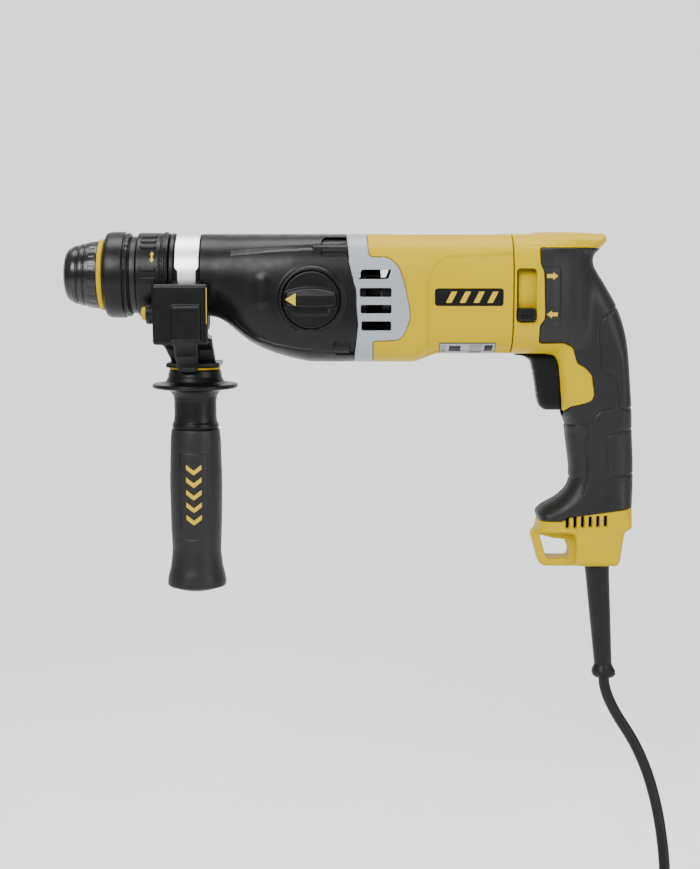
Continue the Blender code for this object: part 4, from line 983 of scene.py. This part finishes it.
def screen_field(side):
    """A perforated plate inside the base, behind the air slots."""
    def field(p):
        plate = brick(p, (-28.5, -12.0, -62.0), (5.5, 12.0, -52.2), 0.5)
        plate = np.maximum(plate, 10.4 - side * p[:, 1])
        holes = np.hypot(np.mod(p[:, 0], 2.7) - 1.35, np.mod(p[:, 2], 2.7) - 1.35) - 0.45
        return np.maximum(plate, -holes)
    return field


def shell_field(side):
    """One yellow half of the rear handle."""
    def field(p):
        x, y, z = p.T
        body = handle_body(p)
        band = groove(np.abs(z - 138.6), 0.7, 0.3) * (x > -60)
        outer = round_max(body + band, -(REGION(p) - RUBBER_GAP), 0.45)
        outer = np.minimum(outer, body + 2.5)
        inset = body + np.interp(x, [-50.0, -45.0], [3.4, 5.2])
        base = brick(p, (-15.0, -13.0, -87.7), (10.0, 13.0, -30.0), 2.0)
        inner = np.maximum(inset, -62.4 - z)
        outer = np.maximum(outer, -np.minimum(inner, base))
        cheeks = brick(p * FLAT, (-90.0, -9.0, -120.0), (-18.5, 9.0, -65.0), 5.0)
        outer = round_max(outer, -round_max(cheeks, 9.4 - np.abs(y), 0.5), 3.0)
        outer = round_max(outer, -handle_openings(p, side), 0.5)
        outer = round_max(outer, -base_slots(p), 0.3)
        outer = round_max(outer, CAP_SPLIT - x, 0.5)
        return round_max(outer, SPLIT - side * y, 0.45)
    return field


def rubber_field(side):
    """One rubber half of the grip, with moulded seam lines."""
    def field(p):
        body = handle_body(p)
        seams = 1.1 * groove(SEAM_TABLE(p), 1.3, 1.0) ** 1.3
        frame_line = groove(np.abs(ARROW_PANEL(p)), 0.8, 0.45) * (side < 0)
        skin = round_max(body + seams + frame_line, REGION(p) + RUBBER_GAP, 0.6)
        skin = np.maximum(skin, -(body + 2.2))
        way = brick(p, (-62.0, -9.5, 19.2), (-25.0, 9.5, 64.0), 1.5)
        skin = round_max(skin, -way, 0.6)
        return round_max(skin, SPLIT - side * p[:, 1], 0.45)
    return field


class LineTable(Outline):
    """Distance in the side view to the nearest of several smooth lines, tabulated once."""

    def __init__(self, lines, low, high, step=0.5):
        self.low = np.array(low, dtype=float)
        self.step = step
        size = np.ceil((np.array(high) - self.low) / step).astype(int) + 1
        x, z = np.meshgrid(self.low[0] + np.arange(size[0]) * step,
                           self.low[1] + np.arange(size[1]) * step, indexing="ij")
        p = np.stack([x.ravel(), x.ravel() * 0.0, z.ravel()], axis=1)
        nearest = np.full(len(p), FAR)
        for line in lines:
            curve = smooth_path([(a, 0.0, b) for a, b in line], 2.0)[:, [0, 2]]
            nearest = np.minimum(nearest, line_distance(p, curve))
        self.table = nearest.reshape(x.shape)


SEAM_TABLE = LineTable(SEAMS, (-55.0, -60.0), (35.0, 142.0))
ARROW_PANEL = area([
    (-47.2, 84.6), (-47.2, 124.8), (-33.9, 124.8), (-33.9, 84.6)], 3.0, 8.0)


def arrow_outline(x, z, heading):
    """A fat arrow 8 mm long, pointing to +X (1) or -X (-1)."""
    half = [(-4.1, 1.35), (0.2, 1.35), (0.2, 2.75), (4.1, 0.0)]
    points = half + [(a, -b) for a, b in half[-2::-1]]
    return [(x + heading * a, z + b) for a, b in points]


def build_handle():
    for side, word in ((-1, "left"), (1, "right")):
        low_y, high_y = sorted((0.0, side * 38.7))
        moulding("handle_shell_%s_looks" % word, shell_field(side), (-66.7, low_y, -90.9),
                 (24.0, high_y, 149.0), 1.05, YELLOW, 0.36, "tool", "handle_shell_" + word)
        moulding("grip_rubber_%s_looks" % word, rubber_field(side), (-49.0, low_y, -56.4),
                 (24.0, high_y, 137.4), 0.95, RUBBER, 0.45, "tool", "grip_rubber_" + word)
        low_y, high_y = sorted((10.2 * side, 12.0 * side))
        moulding("dust_screen_" + word, screen_field(side), (-28.6, low_y, -62.2), (5.6, high_y, -52.0),
                 0.5, PRINT_BLACK, 0.4, "tool")
    for name, z, heading in (("forward_arrow", 118.0, 1), ("reverse_arrow", 91.6, -1)):
        decal(name, arrow_outline(-40.2, z, heading), rubber_field(-1), -38.0, -20.0, PRINT_YELLOW,
              "tool", step=0.3)


def trigger_field(p):
    """The trigger, with grooves across its front."""
    x, y, z = p.T
    body = rounded_edge(-TRIGGER_SIDE(p), y, 5.0, 8.5, 3.0)
    lines = np.min([np.abs(z - height) for height in (34.0, 38.0, 42.0, 46.0, 50.0)], axis=0)
    return body + groove(lines, 0.8, 0.35) * (x < -42) * (np.abs(y) < 6.5)


TRIGGER_SIDE = area([
    (-63.4, 62.3), (-63.4, 61.5), (-56.5, 60.8), (-51.4, 57.6), (-49.2, 47.7), (-46.8, 31.8),
    (-45.1, 25.2), (-41.5, 22.0), (-27.5, 22.0), (-27.5, 62.3)], [0.3, 0.3, 2, 2, 3, 3, 2, 3, 1, 1],
    12.0, soften=1)


def lever_field(p):
    """The brush ring and the ribbed lever that turns it."""
    x, y, z = p.T
    away = np.hypot(y, z - MOTOR_Z)
    ring = round_max(np.abs(away - 30.3) - 2.1, np.abs(x + 55.25) - 5.7, 0.5)
    lever = brick(p, (-64.2, -41.6, MOTOR_Z - 18.0), (-52.0, -31.0, MOTOR_Z - 8.8), 1.6)
    ribs = np.clip(np.cos((z - 91.6) * 2 * math.pi / 2.4), 0.0, 1.0) * 0.5 * (y < -40.0)
    return np.minimum(ring, lever + ribs)


def shutter_field(p):
    """The curved yellow slide behind the lever's slot, which keeps dust out."""
    x, y, z = p.T
    away = np.hypot(y, z - MOTOR_Z)
    angle = np.degrees(np.arctan2(z - MOTOR_Z, -y))
    band = round_max(np.abs(away - 33.45) - 0.75, np.abs(x + 57.2) - 6.4, 0.3)
    return round_max(band, (np.abs(angle + 8.0) - 49.0) * 0.58, 0.3)


def build_controls():
    moulding("trigger_looks", trigger_field, (-63.6, -8.7, 21.8), (-27.2, 8.7, 62.5), 0.7, BLACK, 0.5,
             "trigger_body", "trigger")
    moulding("brush_ring_looks", lever_field, (-64.4, -41.8, 72.4), (-49.4, 32.6, 137.6), 0.75, BLACK,
             0.45, "brush_plate", "brush_ring")
    moulding("lever_shutter", shutter_field, (-63.8, -34.3, 75.5), (-50.6, -13.0, 128.6), 0.7, YELLOW,
             0.5, "brush_plate")
    moulding("mode_knob_looks", knob_field, (-226.6, -46.6, 81.9), (-187.0, -21.0, 121.5), 0.6, BLACK,
             0.5, "knob", "mode_knob")
    pointer = [(-224.6, KNOB_Z + 0.4), (-217.2, KNOB_Z + 4.9), (-217.2, KNOB_Z - 4.1)]
    decal("knob_pointer", pointer, knob_field, -46.6, -40.5, PRINT_YELLOW, "knob", step=0.3)


def knob_field(p):
    """The mode knob: a disc with a raised grip bar across it, its stem and its drive pin."""
    x, y, z = p.T
    away = np.hypot(x - KNOB_X, z - KNOB_Z)
    disc = round_max(away - 19.5, np.abs(y + 39.4) - 2.0, 0.9)
    bow = 0.011 * (x - KNOB_X) ** 2
    upper = z - KNOB_Z - 8.6 + bow
    lower = KNOB_Z - z - 6.4 + 0.4 * bow
    rise = np.interp(z - KNOB_Z, [-8.0, -5.0, 3.0, 8.0], [-44.6, -46.2, -46.2, -44.2])
    lean = 0.3 * np.maximum(-41.0 - y, 0.0)
    bar = round_max(round_max(upper, lower, 1.5) + lean, rise - y, 1.0)
    step = round_max(round_max(upper + 3.0, lower - 4.2, 1.5) + lean, -42.6 - y, 0.6)
    step = round_max(step, np.abs(x - KNOB_X) - 13.0, 2.0)
    bar = np.minimum(bar, step)
    bar = round_max(bar, away - 18.6 + lean, 1.0)
    bar = np.maximum(bar, y + 38.0)
    top = fillet_min(disc, bar, 1.2)
    stem = rod(p, 1, (KNOB_X, 0.0, KNOB_Z), 5.0, -40.0, -27.0)
    pin = rod(p, 1, (KNOB_X, 0.0, KNOB_Z + 3.0), 1.6, -30.0, -21.0)
    return np.minimum(top, np.minimum(stem, pin))


def build_protector():
    """The lead's bend protector: rings round a line that leans back, and a lobed collar at its end."""
    outline = soften_corners([
        (-83.5, 5.2), (-83.5, 11.2), (-87.2, 11.2), (-87.2, 8.9), (-93.0, 8.9), (-97.0, 8.6),
        (-130.0, 7.6),
        (-164.5, 6.4), (-167.0, 7.6), (-169.0, 8.7), (-172.0, 8.8), (-174.0, 7.2), (-174.0, 5.2)], 0.8)
    count = 72
    angles = np.arange(count) * 2 * math.pi / count
    points = []
    for z, radius in outline:
        lean = max(0.0, -90.7 - z) * math.tan(math.radians(4.5))
        lobes = 0.35 * np.clip(np.cos(angles * 8), 0.0, 1.0) * (-173.5 < z < -166.5) * (radius > 6)
        reach = radius - lobes
        points += np.stack([-0.9 + lean + reach * np.cos(angles), reach * np.sin(angles),
                            np.full(count, z)], axis=1).tolist()
    rows = len(outline)
    faces = []
    for i in range(rows):
        for k in range(count):
            a = i * count + k
            b = i * count + (k + 1) % count
            c = ((i + 1) % rows) * count
            faces.append((a, c + k, c + (k + 1) % count, b))
    place(make_mesh("lead_protector", points, faces, LEAD, SHARP), "tool", "cord_protector")


# ---------------------------------------------------------------- side handle

def strap_field(p):
    """The metal band round the neck, narrower low down, with the tongue that the bolt pulls."""
    x, y, z = p.T
    away = np.hypot(y, z - SPINDLE_Z)
    half = 6.4 + 2.05 * np.clip((z - 121.5) / 2.0, 0.0, 1.0)
    band = round_max(np.abs(away - 28.3) - 0.98, np.abs(x + 293.6) - half, 0.3)
    tongue = brick(p, (-298.0, -9.0, 80.6), (-288.0, 9.0, 90.4), 0.6)
    tongue = np.maximum(tongue, 27.35 - away)
    return np.minimum(band, tongue)


SLANT = 0.085           # how the bracket's rear face leans from left to right


def bracket_field(p):
    """The clamp's block under the neck: saddle, boss, ribs, rod guide and the plate for the ring."""
    x, y, z = p.T
    taper = (112.6 - z) * 0.02
    q = p + np.stack([SLANT * (y + 37.5) * (x > SIDE_X), y * 0.0, y * 0.0], axis=1)
    block = brick(q, (-317.5, -37.5, 69.5), (-277.5, 37.5, 112.6), 3.0) + taper
    skirt_half = np.interp(z, [53.0, 57.0, 66.0, 72.0], [13.5, 14.5, 20.0, 27.0])
    skirt_low = np.interp(z, [53.0, 57.0, 72.0], [-307.0, -306.0, -312.0])
    skirt_high = np.interp(z, [53.0, 57.0, 72.0], [-275.0, -276.0, -278.5])
    ends = np.maximum(skirt_low - x, x + SLANT * y - skirt_high)
    skirt = round_max(np.abs(y) - skirt_half, ends, 2.0)
    skirt = round_max(skirt, np.maximum(53.6 - z, z - 74.0), 0.6)
    plate = brick(p, (-309.8, -18.6, 53.4), (-272.2, 18.6, 56.8), 1.2)
    body = np.minimum(fillet_min(block, skirt, 3.0), plate)
    boss = brick(p, (-303.2, -42.4, 73.0), (-283.0, -30.0, 97.5), 1.6)
    tongue = brick(p, (-302.0, -44.0, 48.6), (-286.0, -10.0, 76.0), 4.0)
    slope = np.interp(z, [48.0, 54.0, 62.0, 70.0, 76.0], [22.0, 24.0, 30.0, 39.0, 41.2])
    tongue = round_max(tongue + np.interp(z, [48.0, 62.0], [1.6, 0.0]), -y - slope, 1.0)
    body = fillet_min(body, np.minimum(boss, np.maximum(tongue, 19.2 - np.hypot(x - SIDE_X, y))), 1.5)
    guide = rod(p, 0, (0.0, 43.6, 84.0), 6.2, -312.0, -284.0, 1.0)
    guide = fillet_min(guide, brick(p, (-311.0, 30.0, 76.0), (-285.0, 43.0, 92.0), 1.5), 2.0)
    body = np.minimum(body, guide)
    away = np.hypot(y, z - SPINDLE_Z)
    saddle = np.where(x < -302.7, 31.6, np.where(x < -285.0, 29.75, 30.5))
    body = round_max(body, saddle - away, 0.5)
    for low_x, high_x in ((-303.2, -300.3), (-286.8, -283.6)):
        ear = brick(p, (low_x, -32.4, 105.0), (high_x, -20.0, 124.0), 0.7)
        body = np.minimum(body, round_max(ear, 29.65 - away, 0.3))
    hood = rod(p, 0, (0.0, -29.0, 92.0), 7.6, -321.6, -308.0, 0.8)
    hood = hood + 0.35 * np.clip(np.cos((x + 320.0) * 2 * math.pi / 2.0), 0.0, 1.0)
    body = np.minimum(body, np.maximum(hood, 31.7 - away))
    for cut in (brick(p, (-298.6, -9.4, 79.5), (-287.4, 9.4, 95.0), 0.5),
                rod(p, 2, (SIDE_X, 0.0, 0.0), 4.4, 30.0, 90.0),
                rod(p, 0, (0.0, -29.0, 92.0), 5.1, -330.0, -301.5),
                rod(p, 0, (0.0, 43.6, 84.0), 4.2, -320.0, -270.0, 0.3)):
        body = round_max(body, -cut, 0.4)
    return body


GRIP_Z = [-110.0, -107.5, -104.0, -98.0, -92.0, -80.0, -60.0, -30.0, 0.0, 6.0, 8.9]
GRIP_R = [19.0, 20.8, 21.5, 20.6, 18.9, 17.6, 18.4, 18.9, 18.1, 17.6, 17.0]


def grip_field(p):
    """The side grip: a swelling tube with a flared end and a framed flat on its front."""
    x, y, z = p.T
    away = np.hypot(x - SIDE_X, y)
    radius = 0.25 * (2 * np.interp(z, GRIP_Z, GRIP_R) + np.interp(z + 2.5, GRIP_Z, GRIP_R)
                     + np.interp(z - 2.5, GRIP_Z, GRIP_R))
    body = away - radius
    dome = z + 110.0 - np.clip(away / 19.0, 0.0, 1.0) ** 2 * 4.0
    body = round_max(body * 0.97, np.maximum(-dome, z - 8.9), 1.6)
    side = (np.arctan2(-y, x - SIDE_X) - math.pi / 2) * away
    frame_line = np.abs(np.maximum(np.abs(side) - 10.5, np.abs(z + 39.0) - 31.0))
    body = body + groove(frame_line, 0.7, 0.45) * (y < 0)
    body = round_max(body, -20.6 - y, 0.8)
    bore = np.maximum(np.maximum(away - 12.8, -101.0 - z), z - 12.0)
    return round_max(body, -bore, 0.3)


def build_side_handle():
    moulding("handle_strap_looks", strap_field, (-302.3, -29.4, 80.0), (-284.9, 29.4, 147.7), 0.65,
             STRAP, 0.4, "side_clamp", "handle_strap")
    moulding("handle_bracket_looks", bracket_field, (-321.8, -42.6, 50.0), (-272.0, 50.0, 112.8), 0.85,
             BLACK, 0.42, "side_clamp", "handle_bracket")
    edge = [(-279.5, 85.0), (-278.9, 85.0), (-278.9, 110.0), (-279.5, 110.0)]
    decal("bracket_edge_line", edge, bracket_field, -38.0, -33.0, PRINT_YELLOW, "side_clamp", step=0.3)
    centre = (SIDE_X, 0.0, 0.0)
    turned("handle_ring_looks", [
        (51.5, 4.4), (51.5, 17.9), (51.9, 18.4), (52.8, 18.4), (53.1, 17.9), (53.1, 4.4)],
        YELLOW, "washer", "handle_ring", centre=centre, axis="Z", soften=0.3)
    turned("side_handle_core_looks", [
        (51.2, 4.4), (51.2, 17.6), (50.8, 18.3), (46.5, 19.4), (46.0, 19.1), (45.4, 19.5), (42.6, 20.9),
        (41.4, 24.0), (41.0, 29.6), (40.4, 30.4), (39.2, 30.6), (38.2, 30.2), (37.7, 28.6), (37.2, 24.0),
        (35.8, 18.0), (32.0, 15.6), (28.0, 15.1), (18.0, 15.1), (13.4, 15.6), (12.8, 16.4), (10.4, 16.8),
        (9.2, 16.6), (9.2, 12.5), (-98.0, 12.5), (-98.0, 9.0), (-92.0, 4.4)],
        BLACK, "side_grip", "side_handle_core", centre=centre, axis="Z", soften=0.9)
    moulding("side_handle_grip_looks", grip_field, (SIDE_X - 21.6, -21.6, -110.0),
             (SIDE_X + 21.6, 21.6, 9.0), 0.9, RUBBER, 0.5, "side_grip", "side_handle_grip")
    for index, z in enumerate((-58.0, -49.0, -40.0, -31.0, -22.0)):
        chevron = [(SIDE_X - 5.5, z + 3.0), (SIDE_X, z - 1.2), (SIDE_X + 5.5, z + 3.0),
                   (SIDE_X + 5.5, z + 6.4), (SIDE_X, z + 2.2), (SIDE_X - 5.5, z + 6.4)]
        decal("grip_mark_%d" % (index + 1), chevron, grip_field, -20.5, -14.0, PRINT_YELLOW,
              "side_grip")
    turned("depth_stop_button_looks", [
        (-325.0, 0.0), (-325.0, 3.2), (-324.2, 4.4), (-322.6, 4.8), (-306.0, 4.8), (-306.0, 0.0)],
        YELLOW, "stop_button", "depth_stop_button", centre=(0.0, -29.0, 92.0), segments=64)


# ---------------------------------------------------------------- carried-over CAD parts

KEPT = [
    (STEEL, "locking_ball sleeve_spring spindle spindle_gear piston striker spindle_front_bearing "
            "intermediate_shaft intermediate_gear intermediate_bearing wobble_ring mode_fork "
            "armature_shaft motor_front_bearing motor_rear_bearing clamp_bolt"),
    (DARK_STEEL, "impact_bolt gearbox_screw_1 gearbox_screw_2 gearbox_screw_3 gearbox_screw_4"),
    (LAMINATION, "stator_core armature_core"), (COPPER, "field_winding_upper field_winding_lower"),
    (CARBON, "carbon_brush_left carbon_brush_right"), (SEGMENTS, "commutator"),
    (ALUMINIUM, "bearing_plate"), (BLACK, "fan switch_module cord_clamp"),
]


def dress_kept_parts():
    for material, names in KEPT:
        for name in names.split():
            data = bpy.data.objects[name].data
            data.materials.clear()
            data.materials.append(material)


build_studio()
lead, lead_length = build_lead()
plug_pieces = build_plug()
tie = build_tie()
[v * MM for v in CORD_ROUTE[0]]
build_nose()
build_change_ring()
build_collar()
build_cover()
build_housing()
build_handle()
build_controls()
build_protector()
build_side_handle()
dress_kept_parts()
